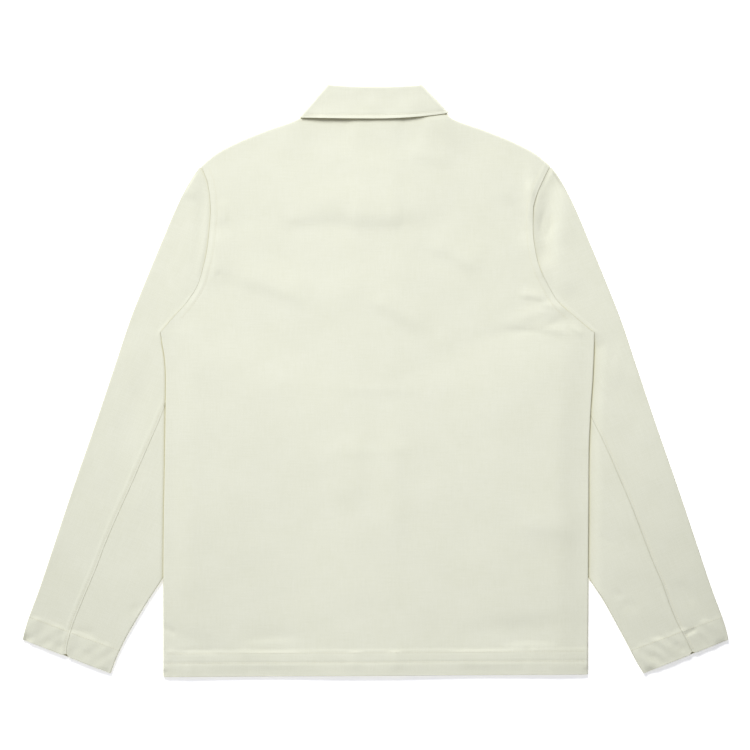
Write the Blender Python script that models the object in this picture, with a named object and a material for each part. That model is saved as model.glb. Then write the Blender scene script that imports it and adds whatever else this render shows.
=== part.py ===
"""A cotton canvas chore jacket, buttoned up and laid flat on a table with its back up.

Each cut and sewn piece is one closed sheet of cloth. The fronts lie on the table, the back lies on the
fronts, and the sleeves lie along the body and pass under its side edges.

The frame: +X to the right as seen from above, +Y towards the collar, +Z up off the table, with the origin on
the table under the middle of the jacket. The left and right pieces are the wearer's. Lengths are in
millimetres, and the two functions that make a mesh turn them into metres.
"""

from collections import namedtuple

import bmesh
import bpy
import numpy as np

MM = 0.001
LEFT, RIGHT = -1, 1
SIDE_NAMES = {LEFT: "left", RIGHT: "right"}

# --- Cloth and clearances -------------------------------------------------------------------------
CLOTH = 1.2  # one ply of heavy canvas
HEM_PLIES = 2.0  # a hem, pressed flat
HEM_EDGE = 2.0  # a hem thins to one ply over this
SEAM_GAP = 0.3  # between two pieces along a seam
SKIN_GAP = 0.4  # between a piece and what is sewn or buttoned on it
LAYER_GAP = 0.5  # least air between two layers that lie on each other
MOST_AIR = 3.7  # most air between them

# --- Outline as seen from above, as distances from the middle -------------------------------------
Outline = namedtuple("Outline", "y x")
Edges = namedtuple("Edges", "y left right")  # the two sides lie a little differently
UNDERARM_Y = 62.7
SHOULDER_TIP_Y = 285.5
HEM_Y = -393.4
HEM_TILT = 1.7  # the hem lies this much higher at its right end, and lower at its left
HEM_HALF = 283.0
HEM_TILT_FADE = (-300.0, -360.0)  # the rows tilt more and more between these heights
HEM_BAND = 32.0

SIDE_EDGE = [
    Edges(-400.0, HEM_HALF, HEM_HALF),
    Edges(-262.7, 283.0, 283.6),
    Edges(-107.0, 283.0, 284.4),
    Edges(-42.7, 283.8, 286.7),
    Edges(13.0, 285.2, 290.5),
    Edges(UNDERARM_Y, 287.0, 292.0),
]
ARMHOLE = [
    Edges(UNDERARM_Y, 287.0, 292.0),
    Edges(70.0, 281.0, 282.0),
    Edges(84.0, 269.0, 266.0),
    Edges(104.0, 251.0, 243.5),
    Edges(130.0, 235.5, 228.0),
    Edges(165.0, 227.5, 217.0),
    Edges(200.0, 223.8, 212.2),
    Edges(226.7, 222.4, 211.0),
    Edges(260.0, 223.8, 217.5),
    Edges(SHOULDER_TIP_Y, 232.5, 232.5),
]
SLEEVE_OUTER_FOLD = [
    Outline(-345.3, 470.0),
    Outline(-338.7, 468.7),
    Outline(-274.7, 446.7),
    Outline(-146.7, 404.0),
    Outline(-50.7, 370.7),
    Outline(29.3, 344.0),
    Outline(77.3, 328.0),
    Outline(141.3, 302.7),
    Outline(189.3, 282.7),
    Outline(221.3, 269.3),
    Outline(253.3, 254.0),
    Outline(269.3, 244.7),
    Outline(SHOULDER_TIP_Y, 233.3),
]
# The sleeve's fold on the body side dives under the body just below the underarm.
SLEEVE_INNER_FOLD = [
    Edges(-391.0, 353.0, 357.5),
    Edges(-374.0, 346.8, 347.0),
    Edges(-347.0, 334.3, 333.0),
    Edges(-320.7, 319.4, 318.6),
    Edges(-294.0, 303.0, 303.8),
    Edges(-262.7, 282.7, 283.5),
    Edges(-195.0, 247.0, 247.0),
    Edges(-133.3, 214.0, 214.0),
    Edges(-95.0, 198.0, 198.0),
    Edges(-60.0, 191.3, 191.3),
    Edges(-30.0, 199.0, 199.0),
    Edges(-8.0, 222.0, 222.0),
    Edges(12.0, 258.0, 259.0),
    Edges(30.0, 283.0, 286.0),
    Edges(40.0, 288.0, 292.4),
    Edges(UNDERARM_Y, 288.1, 293.1),
]
# The body rises for the sleeve below it from this line on. It leaves the body at the underarm.
SLEEVE_LIFT_LINE = [row for row in SLEEVE_INNER_FOLD if row.y <= -30.0] + [
    Edges(-8.0, 208.0, 208.0),
    Edges(12.0, 236.0, 236.0),
    Edges(30.0, 268.0, 268.0),
    Edges(40.0, 290.0, 290.0),
    Edges(UNDERARM_Y, 332.0, 332.0),
    Edges(120.0, 400.0, 400.0),
]
Shoulder = namedtuple("Shoulder", "x y")
NECK_HALF = 93.0
SHOULDER_LINE = [
    Shoulder(NECK_HALF, 351.6),
    Shoulder(144.0, 333.3),
    Shoulder(183.3, 317.3),
    Shoulder(213.3, 301.3),
    Shoulder(232.5, SHOULDER_TIP_Y),
]
BACK_NECK_DROP = 0.8  # the back neckline is almost straight; the middle is this much higher
FRONT_NECK_Y = 276.0
FRONT_NECK_POWER = 2.6  # how square the front neckline is

# --- Two-piece sleeve -----------------------------------------------------------------------------
# How far the seams lie from the inner fold: the elbow seam of the left and of the right sleeve as a share
# of the sleeve's width, and the inseam as a distance. y is the height of the row's inner end.
SleeveSeams = namedtuple("SleeveSeams", "y left right inseam")
SLEEVE_SEAMS = [
    SleeveSeams(-391.0, 0.510, 0.578, 26.0),
    SleeveSeams(-370.0, 0.533, 0.568, 26.5),
    SleeveSeams(-345.0, 0.552, 0.552, 27.0),
    SleeveSeams(-286.0, 0.572, 0.578, 27.5),
    SleeveSeams(-235.0, 0.590, 0.590, 28.0),
    SleeveSeams(-167.0, 0.584, 0.602, 28.0),
    SleeveSeams(-116.0, 0.579, 0.598, 28.0),
    SleeveSeams(-82.0, 0.563, 0.578, 28.0),
    SleeveSeams(-48.0, 0.525, 0.534, 27.0),
    SleeveSeams(0.0, 0.42, 0.42, 22.0),
    SleeveSeams(12.0, 0.28, 0.28, 12.0),
    SleeveSeams(30.0, 0.06, 0.06, 4.0),
]
UNDER_SLEEVE_TOP_Y = 30.0
SLANT_START_Y = 20.0  # below this the rows of the sleeve turn square to it
SLANT_END_Y = -315.0
CUFF_SLANT = 45.0  # the inner end of the cuff lies this much lower than the outer end
CUFF_Y = -345.3
CUFF_BAND = 30.0

# --- What lies under the fronts -------------------------------------------------------------------
OVERLAP_HALF = 20.0  # each front passes the middle by this much
POCKET_X = (40.7, 204.7)
POCKET_Y = (-366.7, -166.7)
POCKET_CORNER = 26.0
POCKET_CORNER_POINTS = 5
BUTTON_RADIUS = 8.5
BUTTON_THICK = 2.8
BUTTON_BEVEL = 0.7
BUTTON_SIDES = 20
BUTTON_COUNT = 5
BUTTON_TOP_Y = 252.0
BUTTON_PITCH = 123.0

# --- Heights over the table -----------------------------------------------------------------------
# Each pair gives where a height starts to change and where the change is complete.
BUTTON_LIFT = BUTTON_THICK + 0.3
PLACKET_FADE = (94.0, 24.0)
PLACKET_FOOT_FADE = (-335.0, -290.0)
PLACKET_HEAD_FADE = (325.0, 280.0)
LAP_FADE = (46.0, 24.0)  # one front rises over the other's edge
POCKET_LIFT = CLOTH + SKIN_GAP
POCKET_PAD = 10.0
POCKET_FADE = 20.0
COLLAR_LIFT = 2.7
COLLAR_POINTS_X_FADE = (137.0, 112.0)
COLLAR_POINTS_Y_FADE = (189.0, 214.0)
SLEEVE_PRESSED = 2.7  # both layers of a sleeve, under the body
SLEEVE_LIFT = SLEEVE_PRESSED + 0.6
LIFT_FADE = (-52.0, -22.0)  # measured from the line where the sleeve's fold lies
BACK_HEIGHT = 5.6  # the back's outer face, away from anything thick
BACK_OVER_BUTTONS = 1.9
SWELL_X_FADE = (130.0, 20.0)
SWELL_Y_FADE = (360.0, 290.0)
BACK_OVER_SLEEVE = 2.7
SHOULDER_HEIGHT = 4.8
NECK_HEIGHT = 6.4
SHOULDER_FADE = 60.0  # the body thins towards its shoulder line over this, and from the neck outwards
SLEEVE_HEIGHT = 5.8
SLEEVE_DIVE_FADE = (40.0, 70.0)
SLEEVE_EDGE_FADE = (1.0, 29.0)  # measured from the body's edge
ARMHOLE_STEP = 1.0  # the body's topstitched edge stands over the sleeve's
SIDE_ROLL = 3.0  # how far in from its side edge the cloth bends round
SIDE_ROLL_FADE = (67.0, 55.0)  # the side edge is a fold below the armhole and a seam along it
SHOULDER_ROLL = 2.4
SHOULDER_ROLL_FADE = (83.0, 103.0)

# --- The largest folds: ridges above 0, troughs below ---------------------------------------------
Fold = namedtuple("Fold", "x y turn half_length half_width height")
BACK_FOLDS = [
    Fold(-30, 212, 0, 105, 17, -0.9),
    Fold(79, 300, -8, 40, 18, -0.7),
    Fold(99, 172, 20, 45, 20, -0.6),
    Fold(-40, 120, 10, 120, 30, 0.6),
    Fold(207, 245, 92, 40, 8, 1.1),
    Fold(214, 165, 100, 55, 9, 1.2),
    Fold(228, 92, 15, 45, 9, 0.8),
    Fold(215, 72, 12, 50, 9, -0.8),
    Fold(190, -330, 4, 60, 14, -0.8),
    Fold(-245, -345, -20, 40, 12, -0.7),
]
SLEEVE_FOLDS = [
    Fold(228, 215, 96, 60, 9, -1.3),
    Fold(252, 170, 105, 70, 14, 0.8),
    Fold(-230, 225, 84, 55, 9, -1.0),
    Fold(-255, 150, 75, 70, 14, 0.5),
    Fold(-330, -60, 65, 90, 18, -0.7),
    Fold(345, -110, -65, 80, 16, -0.8),
    Fold(395, -250, -60, 60, 14, -0.6),
]

# --- Collar, as it lies folded --------------------------------------------------------------------
COLLAR_FALL_THICK = 2.0
COLLAR_STAND_THICK = 1.6
COLLAR_SPLIT = SEAM_GAP / 2  # from the middle of the folded collar to each of its halves
COLLAR_FOLD_REACH = 2.2  # how far down from its fold the collar bends round
COLLAR_FOLD_ANGLES = (0, 40)
COLLAR_FOLD_EDGE = 0.3  # thickness left at the fold itself
COLLAR_BACK_MID = 7.15  # middle of the folded collar over the back
COLLAR_FRONT_MID = COLLAR_FALL_THICK + COLLAR_SPLIT
CollarTurn = namedtuple("CollarTurn", "top foot")  # the line where it turns from the back to the front
COLLAR_TURNS = {
    LEFT: CollarTurn((60.5, 393.0), (96.3, 350.0)),
    RIGHT: CollarTurn((57.8, 392.5), (94.5, 352.0)),
}
COLLAR_MIDDLE_FOLD_Y = 390.7  # in the middle of the back
COLLAR_MIDDLE_FOOT_Y = 348.1
COLLAR_FOLD_FRONT = (5.0, 286.0)  # end of the fold at the front
COLLAR_POINT = (76.0, 224.0)
COLLAR_EDGE_LIFT = 1.6  # the back edge of the fall stands off the back
COLLAR_EDGE_LIFT_SHARE = 0.5  # of the half width, from the turn inwards
COLLAR_COUNTS = (6, 7, 7)  # columns over the back, round the turn and along the front
NECK_CLEARANCE = 0.6

# --- Grids ----------------------------------------------------------------------------------------
# A column of a body panel lies at a fixed x, or at a share of the way from the last fixed one to the edge.
# Its angle is 90 on the flat and less where the cloth bends round at the side.
Column = namedtuple("Column", "side x share angle")
# A row lies at a fixed y or, above ARMHOLE_FOOT_Y, at a share of the way from there to the top edge.
Row = namedtuple("Row", "y share angle")
FIXED_COLUMNS = (0.0, OVERLAP_HALF, 45.0, 70.0, NECK_HALF, 120.0, 150.0, 180.0)
OUTER_SHARES = (0.32, 0.62, 0.86)
SIDE_ANGLES = (90, 60, 28, 0)
SHOULDER_ANGLES = (90, 48, 0)
ARMHOLE_FOOT_Y = 200.0
SHOULDER_SHARES = (0.25, 0.5, 0.75, 0.92)
ARMHOLE_ROWS = (UNDERARM_Y, 70.0, 84.0, 104.0, 130.0, 165.0, ARMHOLE_FOOT_Y)
LOWER_ROWS = (-320.0, -280.0, -240.0, -200.0, -160.0, -120.0, -80.0, -45.0, -15.0, 8.0, 25.0, 40.0, 50.0)
SLEEVE_ROWS = (50, 40, UNDER_SLEEVE_TOP_Y, 12, -8, -30, -60, -95, -133, -172, -212, -252, -290)
TOP_SLEEVE_COUNTS = (8, 4)  # points along the upper layer and along the lower one
UNDER_SLEEVE_COUNTS = (5, 3)
FOLD_ANGLES = (45, 0, -45)
FOLD_MOST_REACH = 0.4  # of the sleeve's width
HALVINGS = 30


def rise(value, start, end):
    """0 at start and before it, 1 at end and past it, and smooth between them."""
    share = np.clip((value - start) / (end - start), 0.0, 1.0)
    return share * share * (3.0 - 2.0 * share)


def band(value, low, high, pad, fade):
    """1 from low - pad to high + pad, falling to 0 over fade on each side."""
    return rise(value, low - pad - fade, low - pad) * rise(value, high + pad + fade, high + pad)


def through(rows, at, given="y", wanted="x"):
    """One column of a table at places in another, on a smooth curve that never overshoots its rows."""
    known = np.array([getattr(row, given) for row in rows], float)
    values = np.array([getattr(row, wanted) for row in rows], float)
    steps = np.diff(known)
    slopes = np.diff(values) / steps
    tangents = np.concatenate([slopes[:1], np.zeros(len(slopes) - 1), slopes[-1:]])
    for k in range(1, len(slopes)):
        if slopes[k - 1] * slopes[k] > 0:
            before, after = 2 * steps[k] + steps[k - 1], steps[k] + 2 * steps[k - 1]
            tangents[k] = (before + after) / (before / slopes[k - 1] + after / slopes[k])
    at = np.clip(at, known[0], known[-1])
    k = np.clip(np.searchsorted(known, at) - 1, 0, len(steps) - 1)
    t = (at - known[k]) / steps[k]
    return (
        values[k] * (1 + 2 * t) * (1 - t) ** 2
        + values[k + 1] * t * t * (3 - 2 * t)
        + steps[k] * t * (1 - t) * (tangents[k] * (1 - t) - tangents[k + 1] * t)
    )


def folds_at(folds, x, y):
    """What a table of folds adds to a height: each is a long soft hump or hollow."""
    height = 0.0
    for fold in folds:
        turn = np.radians(fold.turn)
        along = (x - fold.x) * np.cos(turn) + (y - fold.y) * np.sin(turn)
        across = (y - fold.y) * np.cos(turn) - (x - fold.x) * np.sin(turn)
        height += fold.height * np.exp(-((along / fold.half_length) ** 2) - (across / fold.half_width) ** 2)
    return height


# --- Edges and heights ----------------------------------------------------------------------------
def half_width(side, y):
    """How far a side of the body reaches: its side edge below the underarm, its armhole above."""
    return through(ARMHOLE if y > UNDERARM_Y else SIDE_EDGE, y, wanted=SIDE_NAMES[side])


def shoulder_y(x):
    return through(SHOULDER_LINE, abs(x), given="x", wanted="y")


def back_neck_y(x):
    return shoulder_y(NECK_HALF) + BACK_NECK_DROP * (1 - (x / NECK_HALF) ** 2)


def front_neck_y(x):
    rise = shoulder_y(NECK_HALF) - FRONT_NECK_Y
    return FRONT_NECK_Y + rise * (abs(x) / NECK_HALF) ** FRONT_NECK_POWER


def plies(y, edge_y, depth):
    """Thickness at a height y: the turned band that starts at edge_y, then one ply."""
    return HEM_PLIES + (CLOTH - HEM_PLIES) * rise(y - edge_y - depth, 0.0, HEM_EDGE)


def body_plies(y):
    return plies(y, HEM_Y, HEM_BAND)


def over_sleeve(x, y):
    """1 where the body lies on a sleeve, falling to 0 beside it."""
    line = through(SLEEVE_LIFT_LINE, y, wanted=SIDE_NAMES[RIGHT if x > 0 else LEFT])
    return rise(abs(x) - line, *LIFT_FADE)


def front_rest(x, y):
    """How high the lower front's outer face lies: on buttons, pockets, collar points and sleeves."""
    buttons = BUTTON_LIFT * rise(abs(x), *PLACKET_FADE)
    buttons *= rise(y, *PLACKET_FOOT_FADE) * rise(y, *PLACKET_HEAD_FADE)
    pockets = POCKET_LIFT * band(abs(x), *POCKET_X, POCKET_PAD, POCKET_FADE)
    pockets *= band(y, *POCKET_Y, POCKET_PAD, POCKET_FADE)
    collar = COLLAR_LIFT * rise(abs(x), *COLLAR_POINTS_X_FADE) * rise(y, *COLLAR_POINTS_Y_FADE)
    sleeves = SLEEVE_LIFT * over_sleeve(x, y)
    return (buttons**4 + pockets**4 + collar**4 + sleeves**4) ** 0.25


def front_low(side, x, y):
    """The outer face of one front, which looks down. The right front laps over the left one's inner face."""
    lapped = rise(x, *LAP_FADE) if side == RIGHT else 0.0
    return front_rest(x, y) + lapped * (body_plies(y) + SKIN_GAP)


def back_top(x, y):
    """The back's outer face, which looks up."""
    over_buttons = rise(abs(x), *SWELL_X_FADE) * rise(y, *SWELL_Y_FADE)
    height = BACK_HEIGHT + BACK_OVER_BUTTONS * over_buttons + BACK_OVER_SLEEVE * over_sleeve(x, y)
    past_neck = rise(abs(x) - NECK_HALF, 0.0, SHOULDER_FADE)
    at_top = NECK_HEIGHT + (SHOULDER_HEIGHT - NECK_HEIGHT) * past_neck
    height += (at_top - height) * rise(y - shoulder_y(x), -SHOULDER_FADE, 0.0)
    height += folds_at(BACK_FOLDS, x, y)
    laps = 1 + rise(abs(x), *LAP_FADE)
    fronts_top = front_rest(x, y) + laps * body_plies(y) + (laps - 1) * SKIN_GAP
    lowest = fronts_top + body_plies(y)
    return lowest + np.clip(height - lowest, LAYER_GAP, MOST_AIR)


def sleeve_top(side, x, y):
    """The outer face of a sleeve's upper layer. Under the body it is pressed flat."""
    edge = half_width(side, y)
    at_armhole = back_top(side * edge, y) - ARMHOLE_STEP
    at_body = SLEEVE_PRESSED + (at_armhole - SLEEVE_PRESSED) * rise(y, *SLEEVE_DIVE_FADE)
    free = rise(abs(x) - edge, *SLEEVE_EDGE_FADE)
    height = at_body + free * (SLEEVE_HEIGHT + folds_at(SLEEVE_FOLDS, x, y) - at_body)
    return np.clip(height, SLEEVE_PRESSED, 2 * CLOTH + MOST_AIR)


# --- Making a piece -------------------------------------------------------------------------------
def principled(name, colour, roughness):
    material = bpy.data.materials.new(name)
    material.use_nodes = True
    shader = material.node_tree.nodes["Principled BSDF"]
    shader.inputs["Base Color"].default_value = (*colour, 1.0)
    shader.inputs["Roughness"].default_value = roughness
    shader.inputs["Metallic"].default_value = 0.0
    return material


def add_piece(name, mesh, material, smooth_angle):
    bmesh.ops.recalc_face_normals(mesh, faces=mesh.faces)
    data = bpy.data.meshes.new(name)
    mesh.to_mesh(data)
    mesh.free()
    data.materials.append(material)
    data.shade_smooth()
    data.set_sharp_from_angle(angle=np.radians(smooth_angle))
    piece = bpy.data.objects.new(name, data)
    bpy.context.scene.collection.objects.link(piece)
    return piece


def sheet_of_cloth(name, outside, inside, material):
    """One closed piece from two grids of points, its outer face and its inner one, joined at the rim."""
    rows, columns = len(outside), len(outside[0])
    mesh = bmesh.new()
    grids = []
    for face in (outside, inside):
        grids.append([[mesh.verts.new(np.array(point) * MM) for point in row] for row in face])
    for grid in grids:
        for low, high in zip(grid, grid[1:]):
            for j in range(columns - 1):
                mesh.faces.new((low[j], low[j + 1], high[j + 1]))
                mesh.faces.new((low[j], high[j + 1], high[j]))
    rim = [(0, j) for j in range(columns)] + [(i, columns - 1) for i in range(1, rows)]
    rim += [(rows - 1, j) for j in range(columns - 2, -1, -1)] + [(i, 0) for i in range(rows - 2, 0, -1)]
    for (i, j), (k, m) in zip(rim, rim[1:] + rim[:1]):
        mesh.faces.new((grids[0][i][j], grids[0][k][m], grids[1][k][m]))
        mesh.faces.new((grids[0][i][j], grids[1][k][m], grids[1][i][j]))
    return add_piece(name, mesh, material, smooth_angle=50)


# --- Body panels ----------------------------------------------------------------------------------
def side_columns(side):
    """The columns of one half of a panel, from just off the middle to its side edge."""
    columns = [Column(side, x, None, 90) for x in FIXED_COLUMNS[1:]]
    columns += [Column(side, None, share, 90) for share in OUTER_SHARES]
    return columns + [Column(side, None, 1.0, angle) for angle in SIDE_ANGLES]


def panel_rows():
    """The rows of a body panel, from the hem to the top edge."""
    band_top = HEM_Y + HEM_BAND
    heights = (HEM_Y, HEM_Y + HEM_BAND / 2, band_top, band_top + 3.0, *LOWER_ROWS, *ARMHOLE_ROWS)
    rows = [Row(y, 0.0, 90) for y in heights]
    rows += [Row(ARMHOLE_FOOT_Y, share, 90) for share in SHOULDER_SHARES]
    return rows + [Row(ARMHOLE_FOOT_Y, 1.0, angle) for angle in SHOULDER_ANGLES]


def row_edge_y(row):
    """Where a row meets the panel's side edge."""
    y = row.y + row.share * (SHOULDER_TIP_Y - row.y)
    return y - (1 - np.cos(np.radians(row.angle))) * SHOULDER_ROLL * (row.share == 1.0)


def column_x(column, width):
    if column.x is not None:
        return column.x
    flat = width - SEAM_GAP / 2 - SIDE_ROLL
    last = FIXED_COLUMNS[-1]
    return last + column.share * (flat - last) + SIDE_ROLL * np.cos(np.radians(column.angle))


def panel_point(row, column, neck, height, opposite):
    """The outer point of a panel and the direction out of its cloth. height(x, y) is the panel's own face,
    and opposite(x, y) the face that it meets where the two bend round to the seam between them."""
    edge_y = row_edge_y(row)
    width = half_width(column.side, edge_y)
    x = column_x(column, width)
    top_x = column_x(column, half_width(column.side, SHOULDER_TIP_Y))
    top_y = neck(top_x) if top_x < NECK_HALF else shoulder_y(top_x)
    y = row.y + row.share * (top_y - row.y)
    at_shoulder = rise(top_x, *SHOULDER_ROLL_FADE) * (row.share == 1.0)
    at_side = rise(edge_y, *SIDE_ROLL_FADE)
    shoulder_angle = np.radians(90 - at_shoulder * (90 - row.angle))
    side_angle = np.radians(90 - at_side * (90 - column.angle))
    flat_x = column.side * (x - at_side * max(0.0, x - (width - SEAM_GAP / 2 - SIDE_ROLL)))
    flat_y = y - SHOULDER_ROLL * (row.share == 1.0)
    x *= column.side
    if row.share == 1.0:
        y -= SHOULDER_ROLL * (1 - np.cos(np.radians(row.angle)))
    y += HEM_TILT * x / HEM_HALF * rise(y, *HEM_TILT_FADE)
    near, far = height(flat_x, flat_y), opposite(flat_x, flat_y)
    bend = np.sin(side_angle) * np.sin(shoulder_angle)
    middle = (near + far) / 2
    half = (near - middle) * bend
    half = np.sign(near - far) * max(abs(half), SEAM_GAP / 2)
    out = np.array([column.side * np.cos(side_angle), np.cos(shoulder_angle), np.sign(near - far) * bend])
    return np.array([x, y, middle + half]), out / np.linalg.norm(out)


def body_panel(name, columns, neck, height, opposite, material):
    outside, inside = [], []
    for row in panel_rows():
        points = [panel_point(row, column, neck, height, opposite) for column in columns]
        thick = body_plies(row.y)
        outside.append([point for point, _ in points])
        inside.append([point - out * thick for point, out in points])
    return sheet_of_cloth(name, outside, inside, material)


def lower_face(x, y):
    """The outer face of whichever front meets the back at this side."""
    return front_low(RIGHT if x > 0 else LEFT, x, y)


def make_body(material):
    middle = [Column(RIGHT, 0.0, None, 90)]
    left, right = side_columns(LEFT), side_columns(RIGHT)
    body_panel("back", left[::-1] + middle + right, back_neck_y, back_top, lower_face, material)
    body_panel(
        "front_left",
        left[::-1] + middle + right[:1],
        front_neck_y,
        lambda x, y: front_low(LEFT, x, y),
        back_top,
        material,
    )
    body_panel(
        "front_right",
        left[:1] + middle + right,
        front_neck_y,
        lambda x, y: front_low(RIGHT, x, y),
        back_top,
        material,
    )


# --- Sleeves --------------------------------------------------------------------------------------
SleeveRow = namedtuple("SleeveRow", "side y inner outer seams")


def sleeve_rows(side):
    """Rows from the shoulder tip to the cuff: their two ends as seen from above, and where the seams cross
    them. The seams are None where the top sleeve is the whole sleeve."""
    armhole = [row_edge_y(row) for row in panel_rows() if row_edge_y(row) >= UNDERARM_Y]
    armhole = sorted(armhole, reverse=True)[2:]
    band_top = CUFF_Y + CUFF_BAND
    rows = []
    for y in armhole + list(SLEEVE_ROWS) + [band_top + 3.0, band_top, CUFF_Y]:
        slant = CUFF_SLANT * np.clip((SLANT_START_Y - y) / (SLANT_START_Y - SLANT_END_Y), 0, 1)
        inner_y = y - slant
        if y >= UNDERARM_Y:
            inner_x = half_width(side, y) + SEAM_GAP / 2
        else:
            inner_x = through(SLEEVE_INNER_FOLD, inner_y, wanted=SIDE_NAMES[side])
        inner = np.array([side * inner_x, inner_y])
        outer = np.array([side * through(SLEEVE_OUTER_FOLD, y), y])
        seams = None
        if y <= UNDER_SLEEVE_TOP_Y:
            width = np.linalg.norm(outer - inner)
            share = through(SLEEVE_SEAMS, inner_y, wanted=SIDE_NAMES[side])
            seams = (share * width, through(SLEEVE_SEAMS, inner_y, wanted="inseam"))
        rows.append(SleeveRow(side, y, inner, outer, seams))
    return rows


def fold_section(row, start, end, at_outer, counts):
    """One row of a sleeve piece: along the upper layer from start, round a fold, and back along the lower
    layer to end. start and end are distances from the inner fold. at_outer says which fold it bends at."""
    along = row.outer - row.inner
    width = np.linalg.norm(along)
    along = along / width
    fold_at = width if at_outer else 0.0
    outward = 1 if at_outer else -1

    def top_at(distance):
        return sleeve_top(row.side, *(row.inner + along * distance))

    reach = min(top_at(fold_at) / 2, FOLD_MOST_REACH * width)
    bend = top_at(fold_at - outward * reach) / 2
    turn = fold_at - outward * reach
    points = [(distance, top_at(distance), 90) for distance in np.linspace(start, turn, counts[0])]
    for angle in FOLD_ANGLES:
        radians = np.radians(angle)
        points.append((turn + outward * reach * np.cos(radians), bend + bend * np.sin(radians), angle))
    points += [(distance, 0.0, -90) for distance in np.linspace(turn, end, counts[1])]
    thick = plies(row.y, CUFF_Y, CUFF_BAND)
    outside, inside = [], []
    for distance, height, angle in points:
        radians = np.radians(angle)
        out = np.array([*(along * outward * np.cos(radians)), np.sin(radians)])
        point = np.array([*(row.inner + along * distance), height])
        outside.append(point)
        inside.append(point - out * thick)
    return outside, inside


def make_sleeve(side, name, material):
    rows = sleeve_rows(side)
    half_gap = SEAM_GAP / 2
    tops, unders = [], []
    for row in rows:
        elbow, inseam = row.seams or (-half_gap, -half_gap)
        tops.append(fold_section(row, elbow + half_gap, inseam + half_gap, True, TOP_SLEEVE_COUNTS))
        if row.seams:
            start, end = elbow - half_gap, inseam - half_gap
            unders.append(fold_section(row, start, end, False, UNDER_SLEEVE_COUNTS))
    for piece, sections in (("top_sleeve_", tops), ("under_sleeve_", unders)):
        outside, inside = zip(*sections)
        sheet_of_cloth(piece + name, outside, inside, material)


# --- Collar ---------------------------------------------------------------------------------------
# A column of the collar runs down from its fold: the fold's point, the direction down, the directions out of
# the fall, and how long the fall and the stand are there.
CollarColumn = namedtuple("CollarColumn", "fold down out fall stand lift")


def stand_length(fold, down, fall, neck):
    """How far the stand reaches before it meets the neckline."""
    near, far = 0.0, fall
    for _ in range(HALVINGS):
        middle = (near + far) / 2
        x, y = fold + down * middle
        if y > neck(abs(x)) + NECK_CLEARANCE:
            near = middle
        else:
            far = middle
    return near


def front_neck_chord(x):
    """The front neckline as its panel's columns cut it."""
    fixed = [column for column in FIXED_COLUMNS if column <= NECK_HALF] + [NECK_HALF + 5]
    return np.interp(x, fixed, [front_neck_y(column) for column in fixed])


def collar_half(side):
    """Half of the collar, from the middle of the back to its front end, as if it were the right half."""
    turn_top, turn_foot = (np.array(point) for point in COLLAR_TURNS[side])
    columns = []
    over_back, round_turn, along_front = COLLAR_COUNTS
    for share in np.linspace(0, 1, over_back)[:-1]:
        fold_y = COLLAR_MIDDLE_FOLD_Y + (turn_top[1] - COLLAR_MIDDLE_FOLD_Y) * share**2
        foot_y = COLLAR_MIDDLE_FOOT_Y + (turn_foot[1] - COLLAR_MIDDLE_FOOT_Y) * share**2
        fold, foot = np.array([turn_top[0] * share, fold_y]), np.array([turn_foot[0] * share, foot_y])
        fall = np.linalg.norm(foot - fold)
        down = (foot - fold) / fall
        stand = stand_length(fold, down, fall, back_neck_y)
        lift = COLLAR_EDGE_LIFT * rise(1 - share, 0.0, COLLAR_EDGE_LIFT_SHARE)
        columns.append(CollarColumn((*fold, COLLAR_BACK_MID), down, (0, 0, 1), fall, stand, lift))
    fall = np.linalg.norm(turn_foot - turn_top)
    down = (turn_foot - turn_top) / fall
    stand = stand_length(turn_top, down, fall, front_neck_chord)
    side = np.array([-down[1], down[0]])
    radius = (COLLAR_BACK_MID - COLLAR_FRONT_MID) / 2
    for angle in np.radians(np.linspace(90, -90, round_turn)[:-1]):
        out = np.array([*(side * np.cos(angle)), np.sin(angle)])
        fold = np.array([*turn_top, COLLAR_FRONT_MID + radius]) + out * radius
        columns.append(CollarColumn(fold, down, out, fall, stand, 0.0))
    fold_end, point = np.array(COLLAR_FOLD_FRONT), np.array(COLLAR_POINT)
    for share in np.linspace(0, 1, along_front):
        fold = turn_top + (fold_end - turn_top) * share
        foot = turn_foot + (point - turn_foot) * share
        fall = np.linalg.norm(foot - fold)
        down = (foot - fold) / fall
        stand = stand_length(fold, down, fall, front_neck_chord)
        columns.append(CollarColumn((*fold, COLLAR_FRONT_MID), down, (0, 0, -1), fall, stand, 0.0))
    return columns


def mirrored(column):
    flip = np.array([-1, 1, 1])
    return column._replace(fold=column.fold * flip, down=column.down * flip[:2], out=column.out * flip)


def collar_sheet(name, columns, facing, thick, length_of, rows, material):
    """The fall (facing 1) or the stand (facing -1): bent at the fold, then flat down to its edge."""
    outside, inside = [], []
    for column in columns:
        down, out = np.array([*column.down, 0.0]), np.array(column.out)
        length = length_of(column)
        angles = np.radians(COLLAR_FOLD_ANGLES)
        steps = [(COLLAR_FOLD_REACH * (1 - np.cos(angle)), np.sin(angle)) for angle in angles]
        steps += [(distance, 1.0) for distance in np.linspace(COLLAR_FOLD_REACH, length, rows)]
        outer_line, inner_line = [], []
        for distance, bend in steps:
            lift = column.lift * (distance / column.fall) ** 2 * (facing == 1)
            base = np.array(column.fold) + down * distance + out * lift
            level = COLLAR_SPLIT + max(COLLAR_FOLD_EDGE, thick * bend)
            outer_line.append(base + out * facing * level)
            inner_line.append(base + out * facing * COLLAR_SPLIT)
        outside.append(outer_line)
        inside.append(inner_line)
    return sheet_of_cloth(name, outside, inside, material)


def make_collar(material):
    columns = [mirrored(column) for column in collar_half(LEFT)[:0:-1]] + collar_half(RIGHT)
    collar_sheet("collar_fall", columns, 1, COLLAR_FALL_THICK, lambda column: column.fall, 5, material)
    collar_sheet("collar_stand", columns, -1, COLLAR_STAND_THICK, lambda column: column.stand, 3, material)


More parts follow.
